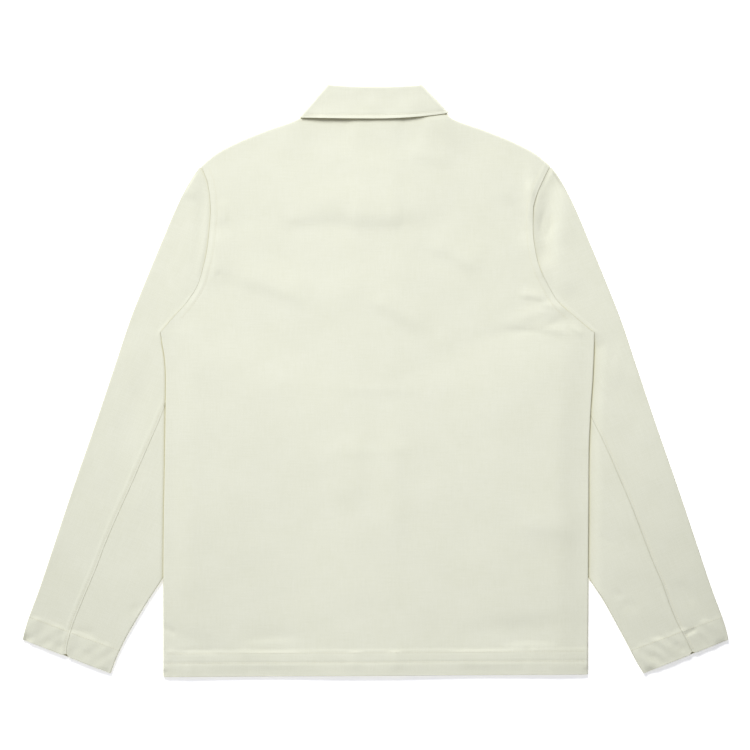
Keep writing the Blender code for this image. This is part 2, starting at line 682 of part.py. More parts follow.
# --- Pockets and buttons --------------------------------------------------------------------------
def make_pocket(side, name, material):
    """A patch with a straight mouth and rounded lower corners, under its front."""
    left, right = POCKET_X
    low, high = POCKET_Y
    outline = [(right, high), (left, high)]
    for centre_x, start in ((left + POCKET_CORNER, 180), (right - POCKET_CORNER, 270)):
        for angle in np.radians(np.linspace(start, start + 90, POCKET_CORNER_POINTS)):
            x = centre_x + POCKET_CORNER * np.cos(angle)
            outline.append((x, low + POCKET_CORNER + POCKET_CORNER * np.sin(angle)))
    mesh = bmesh.new()
    rims = []
    for z in (0.0, CLOTH):
        rims.append([mesh.verts.new((side * x * MM, y * MM, z * MM)) for x, y in outline])
        mesh.faces.new(rims[-1])
    for k in range(len(outline)):
        after = (k + 1) % len(outline)
        mesh.faces.new((rims[0][k], rims[0][after], rims[1][after], rims[1][k]))
    return add_piece(name, mesh, material, smooth_angle=50)


def make_button(number, material):
    mesh = bmesh.new()
    bmesh.ops.create_cone(
        mesh,
        cap_ends=True,
        segments=BUTTON_SIDES,
        radius1=BUTTON_RADIUS * MM,
        radius2=BUTTON_RADIUS * MM,
        depth=BUTTON_THICK * MM,
    )
    rims = [edge for edge in mesh.edges if abs(edge.verts[0].co.z - edge.verts[1].co.z) < 1e-6]
    bmesh.ops.bevel(mesh, geom=rims, offset=BUTTON_BEVEL * MM, segments=1, affect="EDGES")
    button = add_piece(f"button_{number}", mesh, material, smooth_angle=30)
    y = BUTTON_TOP_Y - BUTTON_PITCH * (number - 1)
    button.location = (0.0, y * MM, BUTTON_THICK / 2 * MM)
    return button


for old in list(bpy.data.objects):
    bpy.data.objects.remove(old)

canvas = principled("cotton canvas", (0.80, 0.80, 0.68), 0.85)
button_resin = principled("polyester button", (0.72, 0.70, 0.58), 0.35)
make_body(canvas)
for wearer_side, side_name in ((LEFT, "left"), (RIGHT, "right")):
    make_sleeve(wearer_side, side_name, canvas)
    make_pocket(wearer_side, f"pocket_{side_name}", canvas)
make_collar(canvas)
for button_number in range(1, BUTTON_COUNT + 1):
    make_button(button_number, button_resin)
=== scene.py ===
from collections import namedtuple

import bpy
import numpy as np
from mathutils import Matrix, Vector


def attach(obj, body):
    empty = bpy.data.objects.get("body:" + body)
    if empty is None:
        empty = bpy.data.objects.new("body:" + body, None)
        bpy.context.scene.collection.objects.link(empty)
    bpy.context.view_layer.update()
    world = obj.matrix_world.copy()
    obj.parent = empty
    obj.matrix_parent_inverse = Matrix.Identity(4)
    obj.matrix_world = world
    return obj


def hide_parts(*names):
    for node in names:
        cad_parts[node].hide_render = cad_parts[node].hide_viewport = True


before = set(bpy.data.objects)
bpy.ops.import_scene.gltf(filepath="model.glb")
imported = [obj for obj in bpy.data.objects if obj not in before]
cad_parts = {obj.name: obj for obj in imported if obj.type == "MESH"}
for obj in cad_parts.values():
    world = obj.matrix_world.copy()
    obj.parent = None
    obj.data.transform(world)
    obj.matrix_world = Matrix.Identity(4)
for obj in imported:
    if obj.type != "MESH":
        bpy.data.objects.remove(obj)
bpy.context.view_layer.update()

# A canvas chore jacket, buttoned up and laid on its front. +X is the right as seen from above, +Y is towards
# the collar and +Z is up. Lengths are in millimetres, and left and right are the wearer's.

# --- Buttons --------------------------------------------------------------------------------------
# Five four-hole buttons of cast polyester, turned with a rim and a dish and tumbled smooth. They are sewn to
# the right front with the thread of the seams, and come out through the left front, so the jacket lies on
# their faces.
MM = 0.001
DOWN = (0, 0, -1)
BUTTON_COUNT = 5
BUTTON_TOP_Y = 252.0
BUTTON_PITCH = 123.0
BUTTON_THICK = 2.8
BUTTON_HOLE = 1.0  # radius
BUTTON_HOLE_AT = 1.7  # from the middle, both ways
BUTTON_SIDES, HOLE_SIDES = 48, 16
DISH_DEPTH = 0.75
# The face from the dish to the rim, then the back: distance from the axis and height.
BUTTON_PROFILE = [(4.4, DISH_DEPTH), (5.8, 0.675), (6.5, 0.25), (7.5, 0.0), (8.15, 0.35), (8.5, 0.95)]
BUTTON_PROFILE += [(8.2, 1.7), (6.9, BUTTON_THICK - 0.1), (5.3, BUTTON_THICK)]
BUTTON_SHARP = 40  # degrees from which an edge of its mesh stays sharp
BUTTON_STRANDS = (-0.35, 0.35)  # the two that run side by side from hole to hole
STRAND_INTO_HOLE = 0.45
SHARE, COLOUR_A, COLOUR_B, MIXED = 0, 6, 7, 2  # a mix node's sockets, where it mixes colours
WAVE_BAND = 0.314  # how far apart a wave node's bands lie at scale 1


def linear(hex_colour):
    """An sRGB hex colour as the linear values that a shader takes."""
    channels = [int(hex_colour[k : k + 2], 16) / 255 for k in (0, 2, 4)]
    return [c / 12.92 if c <= 0.04045 else ((c + 0.055) / 1.055) ** 2.4 for c in channels] + [1.0]


def add_node(tree, kind, inputs, **settings):
    """Adds a shader node and gives its outputs. Each input gets a value, or a link from the given output."""
    node = tree.nodes.new("ShaderNode" + kind)
    for name, value in settings.items():
        setattr(node, name, value)
    for name, value in inputs.items():
        if isinstance(value, bpy.types.NodeSocket):
            tree.links.new(value, node.inputs[name])
        else:
            node.inputs[name].default_value = value
    return node.outputs


def new_material(name, look, *sizes):
    """A material by its look: a function that adds the pattern's nodes and gives what the shader takes."""
    material = bpy.data.materials.new(name)
    material.use_nodes = True
    tree = material.node_tree
    tree.nodes.clear()
    place = add_node(tree, "TexCoord", {})["Object"]
    shader = add_node(tree, "BsdfPrincipled", look(tree, place, *sizes))["BSDF"]
    add_node(tree, "OutputMaterial", {"Surface": shader})
    return material


def polyester(tree, place):
    """Cast polyester, polished: faintly clouded, with a soft gloss."""
    cloud_size = 4.0
    clouds = {"Vector": place, "Scale": 1 / (cloud_size * MM), "Detail": 3.0, "Distortion": 1.5}
    clouds = add_node(tree, "TexNoise", clouds)["Fac"]
    tones = {SHARE: clouds, COLOUR_A: linear("DAD6BE"), COLOUR_B: linear("C9C3A4")}
    colour = add_node(tree, "Mix", tones, data_type="RGBA")[MIXED]
    return {"Base Color": colour, "Roughness": 0.32, "IOR": 1.56}


def twisted_thread(tree, place):
    """Polyester thread, spun and twisted: matt, with a twist that shows as fine slanted bands."""
    twist = 0.55  # from strand to strand
    bands = {"Vector": place, "Scale": WAVE_BAND / (twist * MM), "Distortion": 0.0}
    strands = add_node(tree, "TexWave", bands, bands_direction="DIAGONAL")["Fac"]
    tones = {SHARE: strands, COLOUR_A: linear("D3D2BF"), COLOUR_B: linear("EAEADC")}
    relief = {"Height": strands, "Strength": 0.5, "Distance": 0.08 * MM}
    return {
        "Base Color": add_node(tree, "Mix", tones, data_type="RGBA")[MIXED],
        "Roughness": 0.8,
        "Sheen Weight": 0.25,
        "Sheen Roughness": 0.5,
        "Normal": add_node(tree, "Bump", relief)["Normal"],
    }


def add_piece(name, points, faces, material, replaced=(), smooth_angle=50):
    """One mesh that rides on the jacket. points are in millimetres."""
    data = bpy.data.meshes.new(name)
    data.from_pydata((np.asarray(points, float) * MM).tolist(), [], faces)
    data.materials.append(material)
    data.shade_smooth()
    data.set_sharp_from_angle(angle=np.radians(smooth_angle))
    piece = bpy.data.objects.new(name, data)
    bpy.context.scene.collection.objects.link(piece)
    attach(piece, "root")
    if replaced:
        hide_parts(*replaced)
    return piece


# A stitch is a short strand that comes up out of the cloth, lies on it and goes down again. Its rings, from
# one end to the other: how far along as a share of half its length, and the share of its width and height.
STITCH_LENGTH = 2.7
STITCH_PITCH = 3.2
THREAD_WIDTH = 0.75
THREAD_SIDES = 5
STITCH_RINGS = [(-1.0, 0.35, -0.25), (-0.55, 0.9, 0.08), (0.0, 1.0, 0.16), (0.55, 0.9, 0.08)]
STITCH_RINGS += [(1.0, 0.35, -0.25)]


def unit(vectors):
    return vectors / np.linalg.norm(vectors, axis=-1, keepdims=True)


def point_at(wanted, known, line):
    """Points on a line at the wanted distances. known holds the distances of the line's own points."""
    return np.stack([np.interp(wanted, known, line[:, axis]) for axis in range(3)], -1)


def ring_faces(first, sides, ahead):
    """The faces from a ring of points, which starts at first, to the ring that comes so much later."""
    around = [(first + k, first + (k + 1) % sides) for k in range(sides)]
    return [(low, low + ahead, after + ahead, after) for low, after in around]


def stitches(name, rows, material, turn=0.0, pitch=STITCH_PITCH, length=STITCH_LENGTH):
    """Rows of stitches as one piece. A row is a line of points on the cloth and the direction out of it.
    turn is the angle between the row and each stitch."""
    strand, strand_faces = [], []
    for along, width, height in STITCH_RINGS:
        for angle in np.linspace(0, 2 * np.pi, THREAD_SIDES, endpoint=False):
            across = np.cos(angle) * width * THREAD_WIDTH / 2
            strand.append((along * length / 2, across, height + np.sin(angle) * width * THREAD_WIDTH / 3))
    strand = np.array(strand)
    last = len(strand) - THREAD_SIDES
    for first in range(0, last, THREAD_SIDES):
        strand_faces += ring_faces(first, THREAD_SIDES, THREAD_SIDES)
    strand_faces += [tuple(range(THREAD_SIDES)), tuple(range(last + THREAD_SIDES - 1, last - 1, -1))]
    points, faces = [], []
    for line, out in rows:
        line = np.asarray(line, float)
        out = np.broadcast_to(out, line.shape)
        lengths = np.concatenate([[0.0], np.cumsum(np.linalg.norm(np.diff(line, axis=0), axis=1))])
        places = np.arange(pitch / 2, lengths[-1], pitch)
        middle = point_at(places, lengths, line)
        along = unit(point_at(places + 0.5, lengths, line) - point_at(places - 0.5, lengths, line))
        across = unit(np.cross(point_at(places, lengths, out), along))
        normal = np.cross(along, across)
        turned = along * np.cos(turn) + across * np.sin(turn)
        across = across * np.cos(turn) - along * np.sin(turn)
        for place, *axes in zip(middle, turned, across, normal):
            first = len(points) * len(strand)
            points.append(place + sum(strand[:, k : k + 1] * axes[k] for k in range(3)))
            faces += [tuple(first + corner for corner in face) for face in strand_faces]
    return add_piece(name, np.concatenate(points), faces, material)


def make_button(number, resin, thread):
    y = BUTTON_TOP_Y - BUTTON_PITCH * (number - 1)
    turn = np.linspace(0, 2 * np.pi, BUTTON_SIDES, endpoint=False) + np.pi / BUTTON_SIDES
    points = [(r * np.cos(a), y + r * np.sin(a), height) for r, height in BUTTON_PROFILE for a in turn]
    first, faces = len(points), []
    for low in range(0, first - BUTTON_SIDES, BUTTON_SIDES):
        faces += [face[:1] + face[:0:-1] for face in ring_faces(low, BUTTON_SIDES, BUTTON_SIDES)]
    # Each quarter of the face and of the back is a fan of faces round its hole, and a tube joins the two.
    # Of a hole's corners, counted from the one nearest the middle, half face the rim.
    quarter, eighth = BUTTON_SIDES // 4, HOLE_SIDES // 2
    hole_turn = np.linspace(0, 2 * np.pi, HOLE_SIDES, endpoint=False)
    for rim_first, height, flip in ((0, DISH_DEPTH, False), (first - BUTTON_SIDES, BUTTON_THICK, True)):
        middle = len(points)
        points.append((0.0, y, height))
        for q, (sx, sy) in enumerate(((1, 1), (-1, 1), (-1, -1), (1, -1))):
            start = len(points)
            cx, cy = sx * BUTTON_HOLE_AT, sy * BUTTON_HOLE_AT
            for a in hole_turn + np.arctan2(cy, cx) + np.pi:
                points.append((cx + BUTTON_HOLE * np.cos(a), y + cy + BUTTON_HOLE * np.sin(a), height))
            rim = [rim_first + (q * quarter + k) % BUTTON_SIDES for k in range(quarter + 1)]
            hole = [start + k for k in range(HOLE_SIDES)] + [start]
            fans = [(middle, hole[k + 1], hole[k]) for k in (0, 1, 2)] + [(middle, rim[0], hole[4], hole[3])]
            steps = np.round(np.linspace(0, quarter, eighth + 1)).astype(int)
            for k in range(eighth):
                fans.append((hole[4 + k], *rim[steps[k] : steps[k + 1] + 1], hole[5 + k]))
            fans.append((middle, hole[13], hole[12], rim[-1]))
            fans += [(middle, hole[k + 1], hole[k]) for k in (13, 14, 15)]
            faces += [face[::-1] if flip else face for face in fans]
    for q in range(4):
        faces += ring_faces(first + 1 + q * HOLE_SIDES, HOLE_SIDES, 1 + 4 * HOLE_SIDES)
    name = f"button_{number}"
    add_piece(f"{name}_turned", points, faces, resin, [name], smooth_angle=BUTTON_SHARP)
    rows = []
    for sx in (-1, 1):
        line = [(sx * BUTTON_HOLE_AT, y + sy * BUTTON_HOLE_AT, DISH_DEPTH - 0.1) for sy in (-1, 0, 1)]
        rows += [(np.array(line) + (shift, 0, 0), DOWN) for shift in BUTTON_STRANDS]
    span = 2 * BUTTON_HOLE_AT
    stitches(f"{name}_thread", rows, thread, pitch=span, length=span + 2 * STRAND_INTO_HOLE)


button_resin = new_material("cast polyester", polyester)
thread = new_material("twisted polyester thread", twisted_thread)
for number in range(1, BUTTON_COUNT + 1):
    make_button(number, button_resin, thread)

# --- Hip pockets ----------------------------------------------------------------------------------
# Two patch pockets of the jacket's canvas on the fronts, with rounded lower corners. The mouth is turned
# down 25 mm and stitched, and the sides and foot are felled on with two rows.
LEFT, RIGHT = -1, 1
SIDE_NAMES = {LEFT: "left", RIGHT: "right"}
CLOTH = 1.2  # one ply of heavy canvas
POCKET_PLY = 0.7  # its inner face stands this much over the outer one where it isn't pressed
POCKET_X = (40.7, 204.7)
POCKET_Y = (-366.7, -166.7)
POCKET_CORNER = 26.0
POCKET_MOUTH_HEM = 25.0
POCKET_ROWS_IN = (2.0, 8.4)  # rows of stitches, from the edge inwards
GROOVE_DEPTH = 0.3
GROOVE_WIDTH = 1.5
POCKET_GRID, MOUTH_GRID = 4.0, 22  # from row to row of its mesh, and how many rows the mouth has
POCKET_ACROSS = ((0, 0.08, 12), (0.1, 0.9, 36), (0.92, 1, 12))  # its columns: from one share to another
POCKET_CORNER_POINTS, POCKET_EDGE_POINTS = 12, 14
FELLED_REACH = 9.0  # how far in from the felled edges their puckers reach
FELLED_PUCKER = 0.1
ON_TABLE = 0.05  # the least height of cloth over the table
ROW_DEPTH = GROOVE_DEPTH + 0.1  # of stitches in an even face
RIPPLES = 14  # how many a rolling surface is made of
Ripple = namedtuple("Ripple", "turn length phase")


def mound(distance, width):
    """1 in the middle of a soft swelling, falling off by the distance from there."""
    return np.exp(-((distance / width) ** 2))


def groove(distance):
    """How far a row of stitches pulls the cloth in, by the distance from it."""
    return -GROOVE_DEPTH * mound(distance, GROOVE_WIDTH)


def rolling(x, y, seed, length, height):
    """The faint waves of cloth that was folded and smoothed out again, as ripples in all directions."""
    draw = np.random.default_rng(seed)
    total = 0.0
    for _ in range(RIPPLES):
        ripple = Ripple(draw.uniform(0, np.pi), length * draw.uniform(0.6, 1.7), draw.uniform(0, 2 * np.pi))
        along = x * np.cos(ripple.turn) + y * np.sin(ripple.turn)
        total = total + np.sin(2 * np.pi * along / ripple.length + ripple.phase)
    return height * total / np.sqrt(RIPPLES)


def canvas(tree, place, grain_turn):
    """Unbleached plain-weave cotton canvas, washed: matt, slightly green cream, with thick and thin yarns.
    grain_turn is how far the warp is turned from the Y axis, in degrees."""
    thread_spacing = 0.75  # as in a heavy canvas: it shows when seen close
    slub_width, slub_length = 1.7, 26.0  # thicker yarns, drawn coarser than the real 0.8 mm so that they show
    cloud_size = 55.0
    shut_in = 18.0  # how near other cloth has to be for the colour to take the painted shade
    flat = {"Vector": place, "Rotation": (0.0, 0.0, np.radians(-grain_turn)), "Scale": (1.0, 1.0, 0.0)}
    turned = add_node(tree, "Mapping", flat)["Vector"]
    yarns, slubs = [], []
    for direction, sizes in (("X", (slub_width, slub_length)), ("Y", (slub_length, slub_width))):
        bands = {"Vector": turned, "Scale": WAVE_BAND / (thread_spacing * MM)}
        bands |= {"Distortion": 1.2, "Detail": 1.0, "Detail Scale": 0.15}
        yarns.append(add_node(tree, "TexWave", bands, bands_direction=direction)["Fac"])
        scale = (*(1 / (size * MM) for size in sizes), 0.0)
        stretched = add_node(tree, "Mapping", {"Vector": turned, "Scale": scale})["Vector"]
        streaks = {"Vector": stretched, "Scale": 1.0, "Detail": 3.0, "Roughness": 0.65}
        slubs.append(add_node(tree, "TexNoise", streaks)["Fac"])
    over = add_node(tree, "TexChecker", {"Vector": turned, "Scale": 1 / (thread_spacing * MM)})["Fac"]
    weave = add_node(tree, "Mix", {"Factor": over, "A": yarns[0], "B": yarns[1]})["Result"]
    slub = add_node(tree, "Mix", {"Factor": 0.5, "A": slubs[0], "B": slubs[1]})["Result"]
    soft = {"Vector": turned, "Scale": 1 / (cloud_size * MM), "Detail": 2.0}
    clouds = add_node(tree, "TexNoise", soft)["Fac"]
    uneven = add_node(tree, "MapRange", {"Value": slub, "From Min": 0.36, "From Max": 0.64})["Result"]
    gaps = {"Value": weave, "From Max": 0.45, "To Min": 0.22, "To Max": 0.0}
    gaps = add_node(tree, "MapRange", gaps)["Result"]
    # Painted shade: where other cloth is near, an ambient occlusion node mixes the colour towards a darker,
    # warmer olive, the way shade in folds, slits and under the collar looks.
    open_share = add_node(tree, "AmbientOcclusion", {"Distance": shut_in * MM}, samples=8)["AO"]
    painted_shade = {"Value": open_share, "From Min": 0.3, "From Max": 0.97, "To Min": 1.0, "To Max": 0.0}
    painted_shade = add_node(tree, "MapRange", painted_shade)["Result"]
    colours = {}
    for name, share, first, second in (
        ("yarns", uneven, "DCDDCA", "E5E6D7"),
        ("washed", clouds, "DADBC7", "E4E5D6"),
        ("cloth", 0.5, "yarns", "washed"),
        ("woven", gaps, "cloth", "A7A588"),
        # the last tint is the painted shade, laid on where the ambient occlusion finds other cloth near
        ("folded", painted_shade, "woven", "CAC494"),
    ):
        first, second = (colours.get(colour) or linear(colour) for colour in (first, second))
        tones = {SHARE: share, COLOUR_A: first, COLOUR_B: second}
        colours[name] = add_node(tree, "Mix", tones, data_type="RGBA")[MIXED]
    height = {0: slub, 1: 1.6, 2: weave}  # the slubs, times 1.6, plus the weave
    height = add_node(tree, "Math", height, operation="MULTIPLY_ADD")["Value"]
    relief = {"Height": height, "Strength": 0.55, "Distance": 0.12 * MM}
    return {
        # the cloth's colour with the painted shade in its folds
        "Base Color": colours["folded"],
        "Roughness": 0.92,
        "Specular IOR Level": 0.25,
        "Sheen Weight": 0.12,
        "Sheen Roughness": 0.6,
        "Normal": add_node(tree, "Bump", relief)["Normal"],
    }


def cloth_sheet(name, outside, inside, material, bulge):
    """One closed sheet from two grids of points, its outer face and its inner one. The four edges, in the
    order first row, last column, last row, first column, bulge out by the given amounts. It takes the place
    of the CAD piece of its name."""
    outside, inside = np.asarray(outside, float), np.asarray(inside, float)
    rows, columns = outside.shape[:2]
    index = np.arange(rows * columns).reshape(rows, columns)
    over = np.concatenate([index[0], index[1:, -1], index[-1, -2::-1], index[-2:0:-1, 0]])
    i, j = np.divmod(over, columns)
    middle = (outside + inside) / 2
    outward = middle[i, j] - middle[np.clip(i, 1, rows - 2), np.clip(j, 1, columns - 2)]
    outward /= np.maximum(np.linalg.norm(outward, axis=1, keepdims=True), 1e-9)
    swell = np.repeat(bulge, [columns, rows - 1, columns - 1, rows - 2])
    edge = middle[i, j] + outward * swell[:, None]
    grid = np.stack([index[:-1, :-1], index[:-1, 1:], index[1:, 1:], index[1:, :-1]], -1).reshape(-1, 4)
    under, between = over + index.size, np.arange(len(over)) + 2 * index.size
    after = np.roll(np.arange(len(over)), -1)
    faces = [grid, grid[:, ::-1] + index.size]
    faces.append(np.stack([over[after], over, between, between[after]], -1))
    faces.append(np.stack([between[after], between, under, under[after]], -1))
    faces = np.concatenate(faces)
    points = np.concatenate([outside.reshape(-1, 3), inside.reshape(-1, 3), edge])
    a, b, c, d = (points[faces[:, k]] for k in range(4))
    if (a * (np.cross(b, c) + np.cross(c, d))).sum() < 0:  # the volume, if the faces look inwards
        faces = faces[:, ::-1]
    return add_piece(f"{name}_cloth", points, faces.tolist(), material, [name])


def pocket_edge(inset, count):
    """Points down one side, round the foot and up the other side, this far in from the pocket's edge."""
    left, right = POCKET_X[0] + inset, POCKET_X[1] - inset
    low, high = POCKET_Y[0] + inset, POCKET_Y[1]
    turn = np.linspace(0, np.pi / 2, count)
    rising, falling = ((POCKET_CORNER - inset) * (1 - wave(turn)) for wave in (np.cos, np.sin))
    x = np.concatenate([[left], left + rising, right - falling, [right]])
    return x, np.concatenate([[high], low + falling, low + rising, [high]])


def pocket_depth(x, y):
    """How far in from the felled edges a place on the pocket is."""
    sides = np.minimum(x - POCKET_X[0], POCKET_X[1] - x)
    foot = y - POCKET_Y[0]
    corner_x, corner_y = POCKET_CORNER - sides, POCKET_CORNER - foot
    in_corner = (corner_x > 0) & (corner_y > 0)
    return np.where(in_corner, POCKET_CORNER - np.hypot(corner_x, corner_y), np.minimum(sides, foot))


def make_pocket(side, material, thread):
    (left, right), (low, high) = POCKET_X, POCKET_Y
    turn = np.linspace(0, np.pi / 2, POCKET_CORNER_POINTS)
    corner = low + POCKET_CORNER * (1 - np.cos(turn))
    mouth = high - POCKET_MOUTH_HEM - 3.0
    above = np.arange(corner[-1] + POCKET_GRID, mouth - 2.0, POCKET_GRID)
    y = np.concatenate([corner, above, np.linspace(mouth, high, MOUTH_GRID)])[:, None]
    into_corner = np.maximum(low + POCKET_CORNER - y, 0)
    pull = POCKET_CORNER - np.sqrt(np.maximum(POCKET_CORNER**2 - into_corner**2, 0))
    across = np.concatenate([np.linspace(*part) for part in POCKET_ACROSS])
    x = left + pull + across * (right - left - 2 * pull)
    y = y + 0 * x
    depth = pocket_depth(x, y)
    pulled = sum(groove(depth - row) for row in POCKET_ROWS_IN) + groove(high - y - POCKET_MOUTH_HEM)
    puckers = rolling(x, y, seed=40 + side, length=9.0, height=FELLED_PUCKER) * mound(depth, FELLED_REACH)
    waves = rolling(x, y, seed=50 + side, length=60.0, height=0.06)
    face = ON_TABLE + np.maximum(-pulled + puckers + waves + 0.1, 0.0)
    outside = np.stack([side * x, y, face], -1)
    inside = np.stack([side * x, y, np.maximum(face + POCKET_PLY, CLOTH)], -1)
    name = SIDE_NAMES[side]
    pocket = cloth_sheet(f"pocket_{name}", outside, inside, material, (0.3, 0.3, 0.4, 0.3))
    rows = [pocket_edge(inset, POCKET_EDGE_POINTS) for inset in POCKET_ROWS_IN]
    mouth = np.array([left + 9.0, right - 9.0])
    rows.append((mouth, 0 * mouth + high - POCKET_MOUTH_HEM))
    rows = [(np.stack([side * x, y, 0 * x + ROW_DEPTH], -1), DOWN) for x, y in rows]
    sewing = stitches(f"pocket_{name}_stitches", rows, thread)


straight_canvas = new_material("unbleached cotton canvas", canvas, 0.0)
for side in (LEFT, RIGHT):
    make_pocket(side, straight_canvas, thread)

# --- Fronts and back ------------------------------------------------------------------------------
# Two fronts of the canvas, with a stitched placket where the left one laps over the right one, and one back
# without a yoke or a centre seam. Their hem is turned up 32 mm and stitched twice, and the armhole seams are
# topstitched on the back. The fronts lie on the table, the buttons, the pockets and the sleeves.
HEM_PLIES = 2.0  # thickness of a hem, pressed flat
HEM_EDGE = 2.0  # it thins to one ply over this
HALF_GAP = 0.15  # from a piece to the middle of its seam
SKIN_GAP = 0.4
LAYER_GAP = 0.5
UP = (0, 0, 1)
HEM_Y = -393.4
HEM_TILT = 1.7  # the hem lies this much higher at its right end, and lower at its left
HEM_HALF = 283.0
HEM_TILT_FADE = (-300.0, -360.0)
HEM_BAND = 32.0
HEM_ROWS = ((17.8, 1.1), (30.7, 0.6))  # rows of stitches: how far up from the edge, and how hard each pulls
# The rows draw small slanting puckers into the band, stronger in some places than in others.
HEM_SLANT = 0.35
PUCKER_FADE = (-0.6, 1.2)
PUCKER_LEAST = 0.35
PUCKER_BAND = (2.0, HEM_BAND + 1.0)
HEM_INSET = 5.0  # of its rows at the back's ends
# How many points a row of stitches follows.
HEM_POINTS, BACK_HEM_POINTS, PLACKET_POINTS, ARMHOLE_POINTS = 90, 160, 160, 90
OVERLAP_HALF = 20.0
PLACKET_ROWS = (14.5, -25.0)  # x of the left front's rows; its edge is at 20
BUTTONHOLE = (-15.0, 3.5)
BUTTONHOLE_HALF = 1.5
BUTTONHOLE_PITCH, BUTTONHOLE_STITCH = 0.8, 2.4
FRONT_NECK_Y = 276.0
FRONT_NECK_POWER = 2.6
BACK_NECK_DROP = 0.8
UNDERARM_Y = 62.7
SHOULDER_TIP_Y = 285.5
NECK_HALF = 93.0

Outline = namedtuple("Outline", "y x")
Edges = namedtuple("Edges", "y left right")  # how far each side reaches from the middle
Shoulder = namedtuple("Shoulder", "x y")
# A crease runs from one place to another with a sideways bow. It spreads to its left and to its right by
# different amounts, and is a ridge above 0 and a trough below. Its numbers: x and y of its start, x and y of
# its end, bow, spread to the left, spread to the right, height. A fold is a long soft hump or hollow. Its
# numbers: x and y of its middle, turn in degrees, half length, half width, height.


def table(kind, *rows):
    return [kind(*row) for row in rows]


SIDE_EDGE = table(
    Edges, (-400, HEM_HALF, HEM_HALF), (-262.7, 283, 283.6), (-187, 282.4, 284), (-107, 280.9, 284.4),
    (-42.7, 280.1, 286.7), (0, 279.6, 289.6), (26, 280.9, 290.8), (48, 284.4, 291.6),
    (UNDERARM_Y, 287, 292),
)
ARMHOLE = table(
    Edges, (UNDERARM_Y, 287, 292), (70, 281, 282), (84, 269, 266), (104, 251, 243.5), (130, 235.5, 228),
    (147, 230.5, 219.6), (168, 225.5, 213.6), (200, 221.5, 209.6), (226.7, 219.8, 209.8),
    (242, 220.6, 213.2), (262, 223.6, 221), (SHOULDER_TIP_Y, 232.5, 232.5),
)
SHOULDER_LINE = table(
    Shoulder, (NECK_HALF, 355.2), (98.5, 350.4), (144, 333.3), (183.3, 317.3), (213.3, 301.3),
    (232.5, SHOULDER_TIP_Y),
)
# Where the sleeves' inner folds lie. Near the underarm the body rises for them further out than they reach.
SLEEVE_INNER_FOLD = table(
    Edges, (-391, 353, 357.5), (-374, 346.8, 347), (-347, 334.3, 333), (-320.7, 319.4, 318.6),
    (-294, 303, 303.8), (-262.7, 282.7, 283.5), (-195, 247, 247), (-133.3, 214, 214), (-95, 198, 198),
    (-60, 191.3, 191.3), (-30, 199, 199), (-8, 222, 222), (12, 256, 259), (30, 276.5, 286),
    (40, 281.5, 290.7), (UNDERARM_Y, 287.2, 292.2),
)
SLEEVE_LIFT_LINE = [row for row in SLEEVE_INNER_FOLD if row.y <= -30.0]
SLEEVE_LIFT_LINE += table(
    Edges, (-8, 208, 208), (12, 236, 236), (30, 268, 268), (40, 290, 290), (UNDERARM_Y, 332, 332),
    (120, 400, 400),
)
# How high things lift the cloth, and the pairs of places between which it comes down beside them.
BUTTON_LIFT = BUTTON_THICK + 0.3
PLACKET_FADE = (94.0, 24.0)
PLACKET_FOOT_FADE = (-335.0, -290.0)
PLACKET_HEAD_FADE = (325.0, 280.0)
LAP_FADE = (46.0, 24.0)
POCKET_LIFT = CLOTH + SKIN_GAP
POCKET_PAD = 10.0
POCKET_FADE = 20.0
COLLAR_LIFT = 2.7
COLLAR_POINTS_X_FADE = (137.0, 112.0)
COLLAR_POINTS_Y_FADE = (189.0, 214.0)
SLEEVE_PRESSED = 2.7  # both layers of a sleeve, under the body
SLEEVE_LIFT = SLEEVE_PRESSED + 0.6
LIFT_FADE = (-52.0, -22.0)
BACK_HEIGHT = 5.6
BACK_OVER_BUTTONS = 1.9
SWELL_X_FADE = (130.0, 20.0)
SWELL_Y_FADE = (360.0, 290.0)
BACK_OVER_SLEEVE = 2.7
BACK_LIFT_FADE = (-200.0, 0.0)  # the back bridges the step that the fronts make over a sleeve
SIDE_DROP = 2.1  # the back comes down to the sleeves again at its side edges
SIDE_DROP_FADE = (-45.0, -2.0)
SIDE_DROP_Y_FADE = (110.0, 40.0)
SHOULDER_HEIGHT = 4.8
NECK_HEIGHT = 6.4
SHOULDER_FADE = 60.0
BAND_STEP = 0.4  # the back's turned hem stands over the cloth above it
ARMHOLE_ROW_IN = 8.5  # the row of stitches beside the armhole
ARMHOLE_ROW_FADE = (85.0, 110.0)
ALLOWANCE = 7.0  # the armhole's, pressed towards the back: a low band along the seam, with a rim
ALLOWANCE_HEIGHT = 0.25
ALLOWANCE_RIM, ALLOWANCE_RIM_WIDTH = 0.3, 2.5
FRONT_CREASES = [
    (-190, 150, -110, 118, 6, 22, 9, 0.5), (110, 205, 190, 176, -6, 24, 10, 0.5),
    (-205, -60, -120, -95, 5, 20, 12, 0.4), (150, 40, 70, -30, 8, 14, 22, 0.4),
    (-250, 40, -248, -200, 4, 12, 20, 0.4), (252, 30, 246, -220, -5, 12, 20, 0.4),
    (230, 108, 180, 84, 3, 7, 5, 0.5), (-236, 104, -176, 78, -3, 5, 8, 0.5),
]
BACK_FOLDS = [
    (-30, 212, 0, 105, 17, -0.9), (79, 300, -8, 40, 18, -0.7), (99, 172, 20, 45, 20, -0.6),
    (-40, 120, 10, 120, 30, 0.6), (207, 245, 92, 40, 8, 1.1), (214, 165, 100, 55, 9, 1.2),
    (228, 92, 15, 45, 9, 0.8), (215, 72, 12, 50, 9, -0.8), (190, -330, 4, 60, 14, -0.8),
    (-245, -345, -20, 40, 12, -0.7),
]
